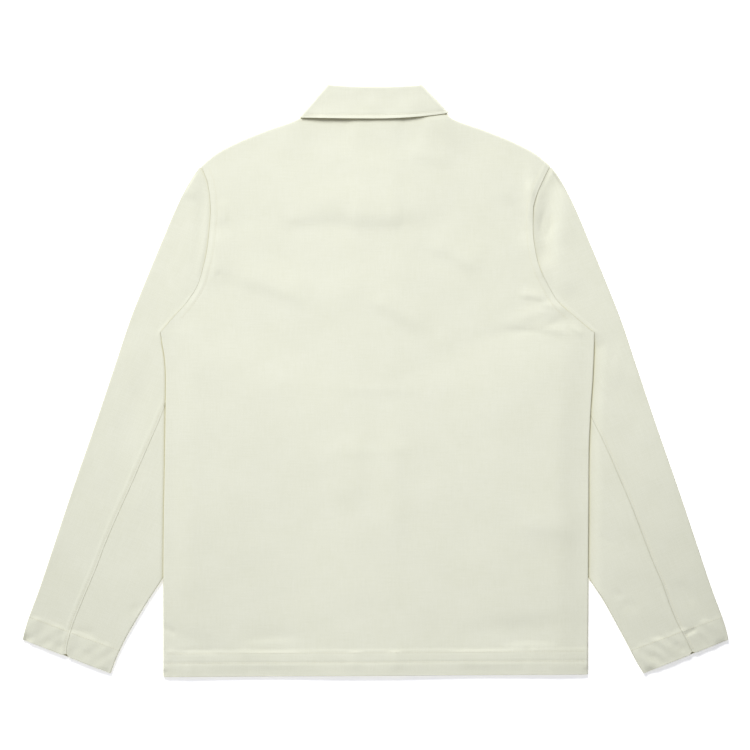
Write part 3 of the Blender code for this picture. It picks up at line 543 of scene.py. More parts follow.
BACK_CREASES = [
    (-150, 219, 85, 222, 3, 45, 17, 1.5), (73, 182, 140, 147, 3, 28, 12, 1.1),
    (45, 305, 105, 290, 2, 28, 12, 1), (-212, 200, -212, 130, 2, 22, 8, 1),
    (-190, 140, -90, 105, 4, 25, 12, 1), (-12, 112, 72, 66, 3, 25, 12, 1),
    (-34, -70, -30, -170, 3, 14, 40, 0.9), (28, -60, 28, -235, -4, 16, 30, 0.8),
    (185, -190, 280, -205, 3, 30, 16, 0.9), (-256, 30, -256, -330, 3, 16, 20, 0.45),
    (246, 40, 250, -330, -3, 14, 22, 0.45), (-259, -358.7, -212, -359, 0, 4, 3.5, -0.5),
    (-284, -327, -265, -338, 0, 4, 3.5, -0.7), (-281, -384, -281, -396, 0, 4, 3, -1),
    (281, -384, 281, -396, 0, 3, 4, -0.7), (-182, -347, -100, -342, 2, 14, 5, -0.6),
    (165, -350, 245, -350, 2, 22, 5, -0.9), (171.3, 244, 200, 178.7, 3, 12, 12, -0.9),
    (190, 113, 228, 108, 1, 8, 4, 0.8), (222, 99, 240, 99, 0, 6, 3, 0.5), (208, 71, 246, 87, -2, 8, 4, 0.6),
    (172, 72, 258, 61, 3, 10, 4, 0.7), (260, 71, 277, 60, 0, 5, 3, 0.5),
    (205, 267, 211, 207, -2, 9, 5, 1.1), (211, 212, 225, 135, 2, 5, 9, 1.1),
    (-203, 240, -201, 208, 1, 6, 10, 0.5), (-214, 138.7, -204.7, 138.7, 0, 5, 3, -0.4),
    (60, 346, 106, 350, 0, 8, 24, 1.3), (-60, -13, 60, -16, 2, 10, 6, 0.25),
    (-50, -95, 60, -90, -2, 12, 7, 0.25),
]

# The grid of a body panel. A column lies at a fixed x, or at a share of the way from the last fixed one to
# near the edge, and then an inset from there. Its angle is 90 on the flat and less where the cloth bends
# round at the side. A row lies at a fixed y or, above ARMHOLE_FOOT_Y, at a share of the way to the top edge.
Columns = namedtuple("Columns", "side x share inset angle")
Rows = namedtuple("Rows", "y share angle")
LAST_FIXED_X = 170.0
NEAR_EDGE = 20.0
INSET_STEP = 1.6
SIDE_ANGLES, SHOULDER_ANGLES = np.linspace(90, 0, 8)[1:], np.linspace(90, 0, 6)
TOP_SHARES = np.linspace(0, 0.96, 40)[1:]
FRONT_GRID, BACK_GRID = (6.3, 18), (5.0, 24)  # the step of the fixed columns, and how many shares follow
SIDE_ROLL = 2.0
SIDE_ROLL_FADE = (67.0, 55.0)
SHOULDER_ROLL = 2.4
SHOULDER_ROLL_FADE = (83.0, 103.0)
ARMHOLE_FOOT_Y = 200.0
ARMHOLE_GRID_Y = 30.0
HEM_STEP, SKIRT_STEP, ARMHOLE_STEP = 1.5, 3.0, 2.6  # from row to row
PAST_BAND = 7.0  # how far up from a turned band its fine rows go


def rise(value, start, end):
    """0 at start and before it, 1 at end and past it, and smooth between them."""
    share = np.clip((value - start) / (end - start), 0.0, 1.0)
    return share * share * (3.0 - 2.0 * share)


def band(value, low, high, pad, fade):
    """1 from low - pad to high + pad, falling to 0 over fade on each side."""
    return rise(value, low - pad - fade, low - pad) * rise(value, high + pad + fade, high + pad)


def through(rows, at, given="y", wanted="x"):
    """One column of a table at places in another, on a smooth curve that never overshoots its rows."""
    known, values = (np.array([getattr(row, name) for row in rows], float) for name in (given, wanted))
    steps = np.diff(known)
    slopes = np.diff(values) / steps
    tangents = np.concatenate([slopes[:1], np.zeros(len(slopes) - 1), slopes[-1:]])
    for k in range(1, len(slopes)):
        if slopes[k - 1] * slopes[k] > 0:
            before, after = 2 * steps[k] + steps[k - 1], steps[k] + 2 * steps[k - 1]
            tangents[k] = (before + after) / (before / slopes[k - 1] + after / slopes[k])
    at = np.clip(at, known[0], known[-1])
    k = np.clip(np.searchsorted(known, at) - 1, 0, len(steps) - 1)
    t = (at - known[k]) / steps[k]
    straight = values[k] * (1 + 2 * t) * (1 - t) ** 2 + values[k + 1] * t * t * (3 - 2 * t)
    return straight + steps[k] * t * (1 - t) * (tangents[k] * (1 - t) - tangents[k + 1] * t)


def by_side(rows, side, y):
    return np.where(side > 0, through(rows, y, wanted="right"), through(rows, y, wanted="left"))


def half_width(side, y):
    """How far a side of the body reaches: its side edge below the underarm, its armhole above."""
    return np.where(y > UNDERARM_Y, by_side(ARMHOLE, side, y), by_side(SIDE_EDGE, side, y))


def shoulder_y(x):
    return through(SHOULDER_LINE, np.abs(x), given="x", wanted="y")


def front_neck_y(x):
    height = shoulder_y(NECK_HALF) - FRONT_NECK_Y
    return FRONT_NECK_Y + height * (np.abs(x) / NECK_HALF) ** FRONT_NECK_POWER


def back_neck_y(x):
    return shoulder_y(NECK_HALF) + BACK_NECK_DROP * (1 - (x / NECK_HALF) ** 2)


def plies(y, edge_y, depth):
    """Thickness at a height y: the turned band that starts at edge_y, then one ply."""
    return HEM_PLIES + (CLOTH - HEM_PLIES) * rise(y - edge_y - depth, 0.0, HEM_EDGE)


def body_plies(y):
    return plies(y, HEM_Y, HEM_BAND)


def creases_at(creases, x, y):
    """What a table of creases adds to a height."""
    total = np.zeros(np.broadcast(x, y).shape)
    for start_x, start_y, end_x, end_y, bow, left, right, height in creases:
        run_x, run_y = end_x - start_x, end_y - start_y
        length = np.hypot(run_x, run_y)
        along = ((x - start_x) * run_x + (y - start_y) * run_y) / length**2
        across = ((y - start_y) * run_x - (x - start_x) * run_y) / length
        across = across - 4 * bow * along * (1 - along)
        ends = rise(along, -0.08, 0.3) * rise(along, 1.08, 0.7)
        total += height * ends * mound(across, np.where(across > 0, left, right))
    return total


def folds_at(folds, x, y):
    """What a table of folds adds to a height."""
    total = 0.0
    for fold_x, fold_y, turn, half_length, half_breadth, height in folds:
        cos, sin = np.cos(np.radians(turn)), np.sin(np.radians(turn))
        along = (x - fold_x) * cos + (y - fold_y) * sin
        across = (y - fold_y) * cos - (x - fold_x) * sin
        total = total + height * mound(along, half_length) * mound(across, half_breadth)
    return total


def over_sleeve(x, y, fade=LIFT_FADE):
    """1 where the body lies on a sleeve, falling to 0 beside it."""
    return rise(np.abs(x) - by_side(SLEEVE_LIFT_LINE, x, y), *fade)


def front_rest(x, y):
    """How high the lower front's outer face lies: on buttons, pockets, collar points and sleeves."""
    buttons = BUTTON_LIFT * rise(np.abs(x), *PLACKET_FADE)
    buttons = buttons * rise(y, *PLACKET_FOOT_FADE) * rise(y, *PLACKET_HEAD_FADE)
    pockets = POCKET_LIFT * band(np.abs(x), *POCKET_X, POCKET_PAD, POCKET_FADE)
    pockets = pockets * band(y, *POCKET_Y, POCKET_PAD, POCKET_FADE)
    collar = COLLAR_LIFT * rise(np.abs(x), *COLLAR_POINTS_X_FADE) * rise(y, *COLLAR_POINTS_Y_FADE)
    sleeves = SLEEVE_LIFT * over_sleeve(x, y)
    return (buttons**4 + pockets**4 + collar**4 + sleeves**4) ** 0.25


def hem_puckers(x, up, seed):
    """The small slanting puckers that two rows of stitches draw into a hem, by the height over its edge."""
    slant = x + HEM_SLANT * up
    strength = rise(rolling(slant, 0 * slant, seed, length=70.0, height=1.0), *PUCKER_FADE)
    strength = PUCKER_LEAST + (1 - PUCKER_LEAST) * strength
    puckers = rolling(slant, 0.5 * up, seed + 1, length=13.0, height=0.28)
    return puckers * strength * band(up, *PUCKER_BAND, pad=0.0, fade=6.0)


def hem_grooves(up):
    return sum(pull * groove(up - row) for row, pull in HEM_ROWS)


def front_low(side, x, y):
    """The outer face of one front, which looks down. The right front laps over the left one's inner face."""
    lapped = rise(x, *LAP_FADE) if side == RIGHT else 0.0
    up = y - HEM_Y
    sewn = hem_grooves(up)
    if side == LEFT:
        sewn = sewn + sum(groove(x - row) for row in PLACKET_ROWS)
    waves = rolling(x, y, seed=60 + side, length=80.0, height=0.12) + hem_puckers(x, up, seed=70 + side)
    height = front_rest(x, y) + lapped * (body_plies(y) + SKIN_GAP)
    return np.maximum(height + waves + creases_at(FRONT_CREASES, x, y), ON_TABLE) - sewn


def either_front(x, y):
    """The outer face of whichever front meets the back at this side."""
    return np.where(x > 0, front_low(RIGHT, x, y), front_low(LEFT, x, y))


def armhole_depth(x, y):
    """How far a place on the body is from the armhole seam."""
    nearest = np.full(np.broadcast(x, y).shape, 1e3)
    for height in np.linspace(UNDERARM_Y - 25.0, SHOULDER_TIP_Y, 60):
        nearest = np.minimum(nearest, np.hypot(np.abs(x) - half_width(np.sign(x), height), y - height))
    return nearest


def back_detail(x, y):
    """What sewing and handling add to the back's face."""
    up = y - HEM_Y
    height = creases_at(BACK_CREASES, x, y) + rolling(x, y, seed=90, length=90.0, height=0.10)
    height = height + rolling(x, y, seed=91, length=34.0, height=0.035) + hem_puckers(x, up, seed=92)
    height = height + BAND_STEP * rise(up, HEM_BAND + 4.0, HEM_BAND) * (1 - rise(-up, -14.0, 0.0))
    height = height + hem_grooves(up)
    depth = armhole_depth(x, y)
    seam = -ALLOWANCE_HEIGHT * (1 - rise(depth, 0.0, ALLOWANCE)) + groove(depth - ARMHOLE_ROW_IN)
    seam = seam + ALLOWANCE_RIM * mound(depth - ALLOWANCE, ALLOWANCE_RIM_WIDTH)
    return height + rise(y, *ARMHOLE_ROW_FADE) * seam


def back_top(x, y, relief=True):
    """The back's outer face, which looks up."""
    over_buttons = rise(np.abs(x), *SWELL_X_FADE) * rise(y, *SWELL_Y_FADE)
    height = BACK_HEIGHT + BACK_OVER_BUTTONS * over_buttons
    to_edge = rise(np.abs(x) - half_width(np.sign(x), y), *SIDE_DROP_FADE) * rise(y, *SIDE_DROP_Y_FADE)
    height = height + (BACK_OVER_SLEEVE - SIDE_DROP * to_edge) * over_sleeve(x, y, BACK_LIFT_FADE)
    past_neck = rise(np.abs(x) - NECK_HALF, 0.0, SHOULDER_FADE)
    at_top = NECK_HEIGHT + (SHOULDER_HEIGHT - NECK_HEIGHT) * past_neck
    height = height + (at_top - height) * rise(y - shoulder_y(x), -SHOULDER_FADE, 0.0)
    height = height + folds_at(BACK_FOLDS, x, y)
    laps = 1 + rise(np.abs(x), *LAP_FADE)
    fronts_top = front_rest(x, y) + laps * body_plies(y) + (laps - 1) * SKIN_GAP
    lowest = fronts_top + body_plies(y) + LAYER_GAP
    soft = 0.3  # over which the cloth comes to rest on what is below it
    height = lowest + (height - lowest + np.sqrt((height - lowest) ** 2 + soft**2)) / 2
    if relief:
        height = np.maximum(height + back_detail(x, y), lowest - LAYER_GAP * 0.8)
    return height


def side_columns(side, start, step, shares):
    """The columns of a panel from x = start, on either side of the middle, out to one side edge."""
    fixed = np.arange(start, LAST_FIXED_X, step)
    insets = np.concatenate([np.arange(INSET_STEP, NEAR_EDGE - 0.5, INSET_STEP), [NEAR_EDGE]])
    past = len(insets) + len(SIDE_ANGLES)
    before = len(fixed) + shares
    x = np.concatenate([fixed, np.full(shares + past, np.nan)])
    share = np.concatenate([0 * fixed, np.linspace(0, 1, shares), np.ones(past)])
    inset = np.concatenate([np.zeros(before), insets, np.full(len(SIDE_ANGLES), NEAR_EDGE)])
    angle = np.concatenate([np.full(before + len(insets), 90.0), SIDE_ANGLES])
    return Columns(*(np.broadcast_to(values, len(x))[None, :] for values in (side, x, share, inset, angle)))


def turned_round(columns):
    return Columns(*(values[:, ::-1] for values in columns))


def panel_rows():
    """The rows of a body panel, from the hem to the top edge."""
    hem = np.arange(HEM_Y, HEM_Y + HEM_BAND + PAST_BAND, HEM_STEP)
    skirt = np.arange(hem[-1] + SKIRT_STEP, ARMHOLE_GRID_Y, SKIRT_STEP)
    count = int((ARMHOLE_FOOT_Y - ARMHOLE_GRID_Y) / ARMHOLE_STEP)
    fixed = np.concatenate([hem, skirt, np.linspace(ARMHOLE_GRID_Y + SKIRT_STEP / 2, ARMHOLE_FOOT_Y, count)])
    y = np.concatenate([fixed, np.full(len(TOP_SHARES) + len(SHOULDER_ANGLES), ARMHOLE_FOOT_Y)])
    share = np.concatenate([0 * fixed, TOP_SHARES, np.ones(len(SHOULDER_ANGLES))])
    angle = np.concatenate([np.full(len(fixed) + len(TOP_SHARES), 90.0), SHOULDER_ANGLES])
    return Rows(*(values[:, None] for values in (y, share, angle)))


def column_x(columns, width):
    flat = width - HALF_GAP - SIDE_ROLL - NEAR_EDGE
    x = LAST_FIXED_X + columns.share * (flat - LAST_FIXED_X) + columns.inset
    return np.where(np.isnan(columns.x), x + SIDE_ROLL * np.cos(np.radians(columns.angle)), columns.x)


def tilted(x, y):
    """The hem's slight slope: what it adds to a height y on the table."""
    return HEM_TILT * x / HEM_HALF * rise(y, *HEM_TILT_FADE)


def panel(columns, neck, height, opposite):
    """The outer and inner points of a panel. height(x, y) is the panel's own face, and opposite(x, y) the
    face that it meets where the two bend round to the seam between them."""
    rows = panel_rows()
    at_top = rows.share == 1.0
    turned_in = at_top * SHOULDER_ROLL * (1 - np.cos(np.radians(rows.angle)))
    edge_y = rows.y + rows.share * (SHOULDER_TIP_Y - rows.y) - turned_in
    width = half_width(columns.side, edge_y)
    flat_end = width - HALF_GAP - SIDE_ROLL
    x = column_x(columns, width)
    top_x = column_x(columns, half_width(columns.side, np.full((1, 1), SHOULDER_TIP_Y)))
    top_y = np.where(np.abs(top_x) < NECK_HALF, neck(top_x), shoulder_y(top_x))
    y = rows.y + rows.share * (top_y - rows.y)
    at_shoulder = rise(top_x, *SHOULDER_ROLL_FADE) * at_top
    at_side = rise(edge_y, *SIDE_ROLL_FADE)
    shoulder_angle = np.radians(90 - at_shoulder * (90 - rows.angle))
    side_angle = np.radians(90 - at_side * (90 - columns.angle))
    flat_x = columns.side * (x - at_side * np.maximum(0.0, x - flat_end))
    flat_y = y - SHOULDER_ROLL * at_top
    x, y = x * columns.side, y - turned_in
    near, far = height(flat_x, flat_y), opposite(flat_x, flat_y)
    bend = np.sin(side_angle) * np.sin(shoulder_angle)
    middle, facing = (near + far) / 2, np.sign(near - far)
    z = middle + facing * np.maximum(np.abs(near - middle) * bend, HALF_GAP)
    out = (columns.side * np.cos(side_angle) + 0 * z, np.cos(shoulder_angle) + 0 * z, facing * bend)
    outside = np.stack([x, y + tilted(x, y), z], -1)
    return outside, outside - unit(np.stack(out, -1)) * body_plies(rows.y)[..., None]


def on_table(x, y, face, out):
    """A row for stitches, along places on a face whose height is face(x, y)."""
    x, y = np.broadcast_arrays(x, y)
    return np.stack([x, y + tilted(x, y), face(x, y)], 1), out


def buttonhole(y, z):
    """The line round a buttonhole, over which its stitches lie."""
    turn = np.linspace(np.pi / 2, 3 * np.pi / 2, 9)
    middle, half = sum(BUTTONHOLE) / 2, (BUTTONHOLE[1] - BUTTONHOLE[0]) / 2
    bow_x, bow_y = half - BUTTONHOLE_HALF * np.cos(turn), BUTTONHOLE_HALF * np.sin(turn)
    x = np.concatenate([middle - bow_x, middle + bow_x])
    line = np.column_stack([x, y + np.concatenate([bow_y, -bow_y]), np.full(len(x), z)])
    return np.concatenate([line, line[:1]])


def make_front(side, material, thread):
    name = SIDE_NAMES[side]
    columns = side_columns(side, -OVERLAP_HALF, *FRONT_GRID)
    if side == LEFT:
        columns = turned_round(columns)

    def face(x, y):
        return front_low(side, x, y)

    bulge = (0.5, 0.1, 0.1, 0.5) if side == RIGHT else (0.5, 0.5, 0.1, 0.1)
    front = cloth_sheet(f"front_{name}", *panel(columns, front_neck_y, face, back_top), material, bulge)
    x = np.linspace(-side * (OVERLAP_HALF - 4.0), side * (HEM_HALF - 6.0), HEM_POINTS)
    rows = [on_table(x, HEM_Y + up, face, DOWN) for up, _ in HEM_ROWS]
    if side == LEFT:
        for x in PLACKET_ROWS:
            y = np.linspace(HEM_Y + 4.0, front_neck_y(x) - 4.0, PLACKET_POINTS)
            rows.append(on_table(x, y, face, DOWN))
    sewing = [stitches(f"front_{name}_stitches", rows, thread)]
    if side == LEFT:
        holes = [BUTTON_TOP_Y - BUTTON_PITCH * number for number in range(BUTTON_COUNT)]
        holes = [(buttonhole(y, float(face(-6.0, y))), DOWN) for y in holes]
        across = {"turn": np.pi / 2, "pitch": BUTTONHOLE_PITCH, "length": BUTTONHOLE_STITCH}
        sewing.append(stitches("buttonhole_stitches", holes, thread, **across))


def make_back(material, thread):
    left, right = (side_columns(side, 0.0, *BACK_GRID) for side in (LEFT, RIGHT))
    # The left half is turned round, and the right one goes on without the column at x = 0.
    columns = Columns(*(np.concatenate([a, b[:, 1:]], 1) for a, b in zip(turned_round(left), right)))
    faces = panel(columns, back_neck_y, back_top, either_front)
    back = cloth_sheet("back", *faces, material, (0.5, 0.1, 0.1, 0.1))
    x = np.linspace(HEM_INSET - HEM_HALF, HEM_HALF - HEM_INSET, BACK_HEM_POINTS)
    rows = [on_table(x, HEM_Y + up, back_top, UP) for up, _ in HEM_ROWS]
    y = np.linspace(ARMHOLE_ROW_FADE[0] + 3.0, SHOULDER_TIP_Y - 7.0, ARMHOLE_POINTS)
    for side in (LEFT, RIGHT):
        edge = half_width(side, y)
        slope = np.gradient(edge, y)
        inset = ARMHOLE_ROW_IN / np.hypot(1.0, slope)
        rows.append(on_table(side * (edge - inset), y + slope * inset, back_top, UP))
    sewing = stitches("back_stitches", rows, thread)


for side in (LEFT, RIGHT):
    make_front(side, straight_canvas, thread)
make_back(straight_canvas, thread)

# --- Sleeves --------------------------------------------------------------------------------------
# Two-piece sleeves: a top sleeve that runs round the outer fold, and an under sleeve round the inner one,
# which starts below the armhole. They are joined at the elbow seam and the inseam, and topstitched beside
# the elbow seam. The cuff is turned up and stitched. They lie along the body and pass under its edges.
SLEEVE_OUTER_FOLD = table(
    Outline, (-345.3, 470), (-338.7, 468.7), (-274.7, 446.7), (-146.7, 404), (-50.7, 370.7), (29.3, 344),
    (77.3, 328), (141.3, 302.7), (189.3, 282.7), (221.3, 269.3), (253.3, 254), (269.3, 244.7),
    (SHOULDER_TIP_Y, 233.3),
)
# How far the seams lie from the inner fold: the elbow seam of each side as a share of the sleeve's width,
# and the inseam as a distance.
SleeveSeams = namedtuple("SleeveSeams", "y left right inseam")
SLEEVE_SEAMS = table(
    SleeveSeams, (-391, 0.51, 0.578, 26), (-370, 0.533, 0.568, 26.5), (-345, 0.552, 0.552, 27),
    (-286, 0.572, 0.578, 27.5), (-235, 0.59, 0.59, 28), (-167, 0.584, 0.602, 28), (-116, 0.579, 0.598, 28),
    (-82, 0.563, 0.578, 28), (-48, 0.525, 0.534, 27), (-20, 0.43, 0.485, 25), (0, 0.28, 0.42, 22),
    (12, 0.14, 0.28, 12), (30, 0.04, 0.06, 4),
)
UNDER_SLEEVE_TOP_Y = 30.0
WHOLE_SLEEVE_Y = 40.0  # from here up the top sleeve is the whole sleeve
SLEEVE_TOP_Y = SHOULDER_TIP_Y - SHOULDER_ROLL
SLANT_START_Y = 20.0
SLANT_END_Y = -315.0
CUFF_SLANT = 45.0
CUFF_Y = -345.3
CUFF_BAND = 30.0
CUFF_NOTCH, CUFF_NOTCH_WIDTH = 3.0, 3.0  # how far the elbow seam pulls the cuff's edge up, and how widely
# The cuff's turned band stands over the sleeve above it, more in some places than in others, and the step
# wanders up and down.
CUFF_BAND_STEP = 0.9
CUFF_BAND_FIRM = 0.6
CUFF_BAND_WANDER = 1.3
CUFF_STEP_FADE = (5.0, -1.0)  # from the band's stitches
SLEEVE_HEIGHT = 5.8
MOST_AIR = 3.7  # between two layers
SLEEVE_DIVE_FADE = (40.0, 70.0)
# How the upper layer comes up beside the body's edge: at the left out of a narrow gap, at the right in two
# steps. Each is the height at the first step, and where each step starts and ends. Along the armhole the
# sleeve starts a little lower than the body's edge, and comes up over a width of its own.
ARMHOLE_DROP_FADE = (100.0, 175.0)
BesideBody = namedtuple("BesideBody", "first_height first rest armhole_drop armhole_rest")
BESIDE_BODY = {
    LEFT: BesideBody(5.6, (-2.2, 1.6), (2.0, 30.0), 0.9, (0.0, 5.0)),
    RIGHT: BesideBody(3.8, (-3.0, 2.0), (1.0, 18.0), 0.8, (0.0, 9.0)),
}
FOLD_MOST_REACH = 0.4
FOLD_SHARPNESS = {LEFT: 0.25, RIGHT: 0.45}  # below 1 a fold is pressed sharper than round
ELBOW_ROW_IN = 3.2
# The elbow seam's allowance makes a step up to the top sleeve, and a low ridge beside the seam.
ElbowLap = namedtuple("ElbowLap", "step ridge ridge_at")
ELBOW_LAP = {LEFT: ElbowLap(0.3, 0.35, 4.6), RIGHT: ElbowLap(0.3, 0.45, -2.6)}
ELBOW_STEP_WIDTH, ELBOW_RIDGE_WIDTH = 7.0, 2.2
ELBOW_LAP_FADE = (SLANT_START_Y - CUFF_Y, SLANT_START_Y - CUFF_Y - 40.0)  # from the cuff's edge
SLEEVE_STEP = 3.0
UPPER_POINTS, LOWER_POINTS, FOLD_POINTS = 44, 16, 9
SLEEVE_TURN = 22.0  # degrees between a sleeve's grain and the body's
SLEEVE_FOLDS = [
    (228, 215, 96, 60, 9, -1.3), (252, 170, 105, 70, 14, 0.8), (-230, 225, 84, 55, 9, -1),
    (-255, 150, 75, 70, 14, 0.5), (-330, -60, 65, 90, 18, -0.7), (345, -110, -65, 80, 16, -0.8),
    (395, -250, -60, 60, 14, -0.6),
]
SLEEVE_CREASES = [
    (236, 284, 226, 190, 2, 12, 12, -2.3), (226, 222, 224, 150, 0, 11, 11, -1.9),
    (250, 262, 248, 175, 3, 16, 9, 0.9), (246, 185, 256, 112, -2, 16, 9, 0.9),
    (313, -283, 332, -286, 0, 4, 6, -0.4), (325, -300, 352, -304, 2, 5, 8, -0.4),
    (402, -268, 424, -300, 2, 6, 9, -0.4), (348, -394, 376, -388, 0, 6, 5, -2),
    (452, -356, 478, -345, 0, 6, 4, -1.5), (411, -340, 428, -331.5, 0, 4, 2.5, -1.1),
    (362, -366, 396, -378, 2, 6, 6, -0.6), (398, -350, 412, -362, 0, 5, 5, -0.5),
    (246, -183, 259, -190, 0, 4, 3, 0.3), (298, -205, 316, -221, 0, 4, 3, -0.3),
    (298, -4, 316, -20, 0, 4, 3, 0.3), (330, 60, 312, -10, 3, 12, 8, 0.4),
    (350, -60, 372, -150, -4, 14, 10, 0.4), (-246, 280, -244, 240, 0, 12, 12, 0.8),
    (-402, -333, -371, -337, 0, 4, 4, -0.5), (-476, -336, -460, -351, 0, 7, 7, -2.4),
    (-442, -347, -410, -362, 2, 6, 6, -0.6), (-398, -352, -372, -372, -2, 5, 7, -0.4),
    (-372, -384, -352, -390, 0, 3, 4, -0.5), (-330, -308, -306, -302, 1, 5, 7, -0.4),
    (-330, 50, -318, -20, -3, 12, 10, 0.4), (-352, -70, -376, -150, 4, 14, 10, 0.4),
    (-300, -120, -325, -180, 3, 12, 10, 0.35),
]
SleeveRow = namedtuple("SleeveRow", "side y inner outer elbow inseam")


def sleeve_row(side, y):
    """A row of the sleeve: its two ends as seen from above, and where the seams cross it."""
    inner_y = y - CUFF_SLANT * np.clip((SLANT_START_Y - y) / (SLANT_START_Y - SLANT_END_Y), 0, 1)
    if y >= UNDERARM_Y:
        inner_x = float(half_width(side, y)) + HALF_GAP
    else:
        inner_x = float(by_side(SLEEVE_INNER_FOLD, side, inner_y))
    inner = np.array([side * inner_x, inner_y])
    outer = np.array([side * float(through(SLEEVE_OUTER_FOLD, y)), y])
    share = float(through(SLEEVE_SEAMS, inner_y, wanted=SIDE_NAMES[side]))
    inseam = float(through(SLEEVE_SEAMS, inner_y, wanted="inseam"))
    whole = rise(y, UNDER_SLEEVE_TOP_Y, WHOLE_SLEEVE_Y)
    seams = (share * np.linalg.norm(outer - inner), inseam)
    return SleeveRow(side, y, inner, outer, *((1 - whole) * seam - whole * HALF_GAP for seam in seams))


def sleeve_rows(side):
    hem = np.arange(CUFF_Y, CUFF_Y + CUFF_BAND + PAST_BAND, HEM_STEP)
    below = np.linspace(hem[-1] + SLEEVE_STEP, UNDER_SLEEVE_TOP_Y, int(-hem[-1] / SLEEVE_STEP) + 10)
    above = np.linspace(UNDER_SLEEVE_TOP_Y, SLEEVE_TOP_Y, int(SLEEVE_TOP_Y / SLEEVE_STEP) - 8)[1:]
    return [sleeve_row(side, y) for y in (*hem, *below, *above)]


def sleeve_detail(side, x, y, up, from_seam):
    """What sewing and handling add to the upper layer. up is the height of the row over the cuff, and
    from_seam how far the place is from the elbow seam."""
    height = creases_at(SLEEVE_CREASES, x, y) + rolling(x, y, seed=80 + side, length=75.0, height=0.12)
    lap = ELBOW_LAP[side]
    seam = lap.step * mound(from_seam, ELBOW_STEP_WIDTH) * (from_seam > 0)
    seam = seam + lap.ridge * mound(from_seam - lap.ridge_at, ELBOW_RIDGE_WIDTH)
    seam = seam + groove(from_seam - ELBOW_ROW_IN)
    height = height + seam * rise(up, *ELBOW_LAP_FADE)
    level = 0 * from_seam
    wander = rolling(from_seam, level, seed=88 + side, length=34.0, height=CUFF_BAND_WANDER)
    firm = CUFF_BAND_FIRM + rolling(from_seam, level, seed=98 + side, length=40.0, height=1 - CUFF_BAND_FIRM)
    height = height + CUFF_BAND_STEP * firm * rise(up - CUFF_BAND + wander, *CUFF_STEP_FADE)
    puckers = rolling(from_seam + HEM_SLANT * up, 0.5 * up, seed=84 + side, length=15.0, height=0.22)
    return height + puckers * band(up, 2.0, CUFF_BAND, pad=0.0, fade=7.0)


def sleeve_top(side, x, y, detail=0.0):
    """The outer face of a sleeve's upper layer. Under the body it is pressed flat."""
    edge = half_width(side, y)
    out = np.abs(x) - edge
    beside = BESIDE_BODY[side]
    sewn_on = rise(y, *SLEEVE_DIVE_FADE)
    at_armhole = back_top(side * edge, y, relief=False) - beside.armhole_drop * rise(y, *ARMHOLE_DROP_FADE)
    at_body = SLEEVE_PRESSED + (at_armhole - SLEEVE_PRESSED) * sewn_on
    first = beside.first_height + (at_armhole - beside.first_height) * sewn_on
    height = at_body + (first - at_body) * rise(out, *beside.first)
    free = rise(out, *beside.rest) * (1 - sewn_on) + rise(out, *beside.armhole_rest) * sewn_on
    height = height + free * (SLEEVE_HEIGHT + folds_at(SLEEVE_FOLDS, x, y) - height)
    height = np.clip(height, SLEEVE_PRESSED, 2 * CLOTH + MOST_AIR)
    return np.maximum(height + rise(out, -2.0, 4.0) * detail, SLEEVE_PRESSED)


def fold_section(row, start, end, at_outer):
    """One row of a sleeve piece: along the upper layer from start, round a fold, and back along the lower
    layer to end. start and end are distances from the inner fold. at_outer says which fold it bends at."""
    width = np.linalg.norm(row.outer - row.inner)
    along = (row.outer - row.inner) / width
    fold_at, outward = (width, 1) if at_outer else (0.0, -1)
    up = row.y - CUFF_Y

    def top_at(distance, turn=None):
        distance = np.atleast_1d(distance)
        x, y = row.inner[:, None] + along[:, None] * distance
        detail = 0.0
        if turn is not None:
            detail = sleeve_detail(row.side, x, y, up, distance - row.elbow)
            detail = detail * rise(np.abs(distance - turn), 0.0, 4.0)
        return sleeve_top(row.side, x, y, detail)

    reach = FOLD_SHARPNESS[row.side] * min(float(top_at(fold_at)[0]) / 2, FOLD_MOST_REACH * width)
    turn = fold_at - outward * reach
    bend = float(top_at(turn)[0]) / 2
    upper, lower = np.linspace(start, turn, UPPER_POINTS), np.linspace(turn, end, LOWER_POINTS)
    angles = np.radians(np.linspace(90, -90, FOLD_POINTS + 2)[1:-1])
    distance = np.concatenate([upper, turn + outward * reach * np.cos(angles), lower])
    height = np.concatenate([top_at(upper, turn), bend + bend * np.sin(angles), 0 * lower])
    angle = np.concatenate([0 * upper + np.pi / 2, angles, 0 * lower - np.pi / 2])
    notch = CUFF_NOTCH * mound(distance - row.elbow, CUFF_NOTCH_WIDTH) * rise(up, 10.0, 0.0)
    notch[UPPER_POINTS:] = 0.0
    up_the_sleeve = np.array([-along[1], along[0]]) * row.side
    place = row.inner + along * distance[:, None] + up_the_sleeve * notch[:, None]
    outside = np.column_stack([place, height])
    out = np.column_stack([along * outward * np.cos(angle)[:, None], np.sin(angle)])
    return outside, outside - out * plies(row.y, CUFF_Y, CUFF_BAND)


